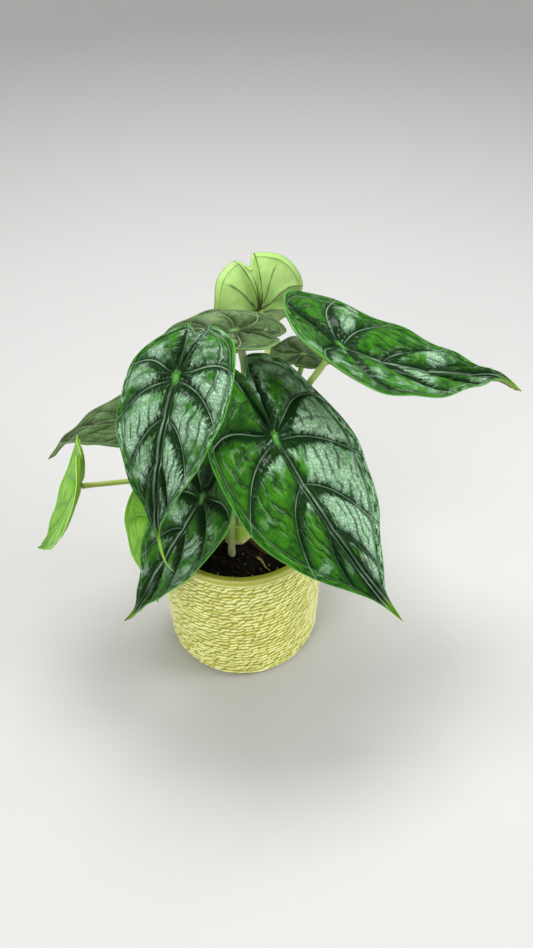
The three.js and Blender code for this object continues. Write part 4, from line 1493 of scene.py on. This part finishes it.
@dataclass
class Studio:
    """The plain pale floor, the soft lights and the camera, in metres, watts and degrees."""

    floor: Colour = (0.56, 0.56, 0.55)
    mottle: Colour = (0.5, 0.5, 0.49)
    sky: Colour = (0.86, 0.87, 0.88)
    sky_strength: float = 0.2
    flat_reach: float = 1.9
    bend_radius: float = 1.1
    wall_top: float = 4.5
    camera_at: tuple[float, float, float] = (0.0181, -0.338, 0.493)
    pitch: float = 44.5
    roll: float = 0.16
    lens: float = 27.04

    def build(self) -> None:
        """Makes the floor that rises into a wall, the area lights, the sky and the camera."""
        self.make_floor()
        self.make_light("Overhead", (-0.1, 0.42, 1.28), (0, 0.0, 0.17), (0.7, 0.45), 12.5)
        self.make_light("Window", (0.95, -0.1, 0.8), (0.02, 0.0, 0.17), (0.4, 0.4), 5.6)
        self.make_light("Fill", (-0.65, -1.0, 0.75), (0, 0, 0.1), (0.5, 0.5), 5.5)
        self.make_light("Low_Front", (-0.1, -1.1, 0.42), (0, 0, 0.12), (0.6, 0.3), 1.3)
        for name, x, y in (("Back", 0, 1), ("Right", 1, 0), ("Front", 0, -1), ("Left", -1, 0)):
            aim = (2.6 * x, 2.6 * y, 0.8)
            self.make_light(f"Wall_{name}", (0.9 * x, 0.9 * y, 2.1), aim, (2.2, 0.3), 18.0)
        world = bpy.data.worlds.new("Soft_Room")
        world.use_nodes = True
        sky = world.node_tree.nodes["Background"].inputs
        sky[0].default_value, sky[1].default_value = (*self.sky, 1), self.sky_strength
        bpy.context.scene.world = world
        bpy.context.scene.view_settings.view_transform = "Standard"
        self.make_camera()

    def make_camera(self) -> None:
        """Aims the camera down by pitch, turned on its own axis by roll."""
        p, r = np.radians([self.pitch, self.roll])
        ahead, level = np.array([0, np.cos(p), -np.sin(p)]), np.array([1.0, 0, 0])
        upright = np.cross(level, ahead)
        right, up = level * np.cos(r) + upright * np.sin(r), upright * np.cos(r) - level * np.sin(r)
        camera = bpy.data.objects.new("Camera", bpy.data.cameras.new("Camera"))
        camera.data.lens = self.lens
        camera.data.clip_start = 0.01
        self.stand(camera, self.camera_at, right, up, -ahead)
        bpy.context.scene.camera = camera

    def make_floor(self) -> None:
        """A round sheet that lies flat under the plant and bends up on a wide quarter circle into a wall."""
        bend, radius = np.radians(np.linspace(0, 90, 28)), self.bend_radius
        wall = self.flat_reach + radius
        reach = np.concatenate([[0.05, 1.0], self.flat_reach + radius * np.sin(bend), [wall]])
        z = np.concatenate([[0.0, 0.0], radius - radius * np.cos(bend), [self.wall_top]])
        height, angle = np.meshgrid(z, turns(160), indexing="ij")
        r = Recipe("Pale_Floor")
        colour = r.mix(r.noise(r.place(), 3.0, 2) * 0.1, self.floor, self.mottle)
        rings, finish = turned(reach[:, None], angle, height) / MM, r.finish(colour, 0.7, None)
        sheet = ring_piece("Pale_Floor", rings, finish, ends=(True, False), inward=True)

    def make_light(self, name: str, at: tuple[float, ...], aim: tuple[float, ...], size: tuple[float, float],
                   power: float) -> None:
        """One rectangular area light.

        Args:
            name: the light's name.
            at: its place.
            aim: the point it faces.
            size: its width and height.
            power: its watts.
        """
        lamp = bpy.data.lights.new(name, "AREA")
        lamp.shape, lamp.size, lamp.size_y, lamp.energy = "RECTANGLE", size[0], size[1], power
        back = unit(np.array(at) - np.array(aim))
        right = unit(np.cross([0, 0, 1.0], back))
        self.stand(bpy.data.objects.new(name, lamp), at, right, np.cross(back, right), back)

    def stand(self, thing: bpy.types.Object, at: tuple[float, ...], right: Array, up: Array,
              back: Array) -> None:
        """Puts a light or the camera in its place, on its own three axes.

        Args:
            thing: the light or the camera.
            at: its place.
            right: its own right.
            up: its own up.
            back: away from what it faces.
        """
        axes = np.stack([right, up, back], -1)
        thing.matrix_world = Matrix.Translation(at) @ Matrix(axes.tolist()).to_4x4()
        bpy.context.scene.collection.objects.link(thing)


def main() -> None:
    """Builds the studio and every piece of the plant, and reports each."""
    Studio().build()
    green = StalkFinish("Green_Stalk", tint("e4e8b4"), tint("c0da82"), tint("b9d96a"), tint("8cab58"))
    fresh = StalkFinish("Fresh_Tip", tint("8fce2c"), tint("8fce2c"), tint("a4da3e"), tint("6fae22"))
    pale = StalkFinish("Pale_Stalk", tint("c3cf9a"), tint("bccf94"), tint("e2ebbd"), tint("a8bc84"))
    lime = StalkFinish("Lime_Stalk", tint("bcc98a"), tint("a8bf62"), tint("b4c860"), tint("86a542"))
    for leaf in LEAVES:
        young = leaf.skin is Skin.YOUNG
        dress(Blade(leaf).build(), f"leaf_{leaf.name}")
        finish = lime if young else pale if leaf.name == "top" else green
        dress(Stalk(leaf, finish).build(), f"stalk_{leaf.name}")
        if leaf.name == "front_left":
            add(DripTip(leaf, fresh).build())
    pot = Pot(GlazeFinish("Chartreuse_Glaze", tint("ffffba"), tint("d3d54c"), tint("959926")))
    dress(pot.build(), "pot")
    ground, *strewn = PottingMix(
        GrainFinish("Potting_Mix", tint("080605"), tint("1d1510"), 700.0, 0.9, 0.95),
        GrainFinish("Bark", tint("140c07"), tint("3a2817"), 420.0, 0.4, 0.85),
        GrainFinish("Perlite", tint("8a7a3c"), tint("cdbb76"), 500.0, 0.25, 0.8),
        GrainFinish("Root", tint("341a10"), tint("64371f"), 380.0, 0.3, 0.7),
    ).build()
    dress(ground, "soil")
    sheaths = SheathFinish("Pale_Sheath", tint("bdf258"), tint("dcfa88"), tint("efe8ac"), tint("a8904e"))
    stem, collar = StemBase(sheaths).build()
    dress(stem, "stem_base")
    add(collar)
    for piece in strewn:
        add(piece)


if __name__ == "__main__":
    logging.basicConfig(level=logging.INFO)
    main()
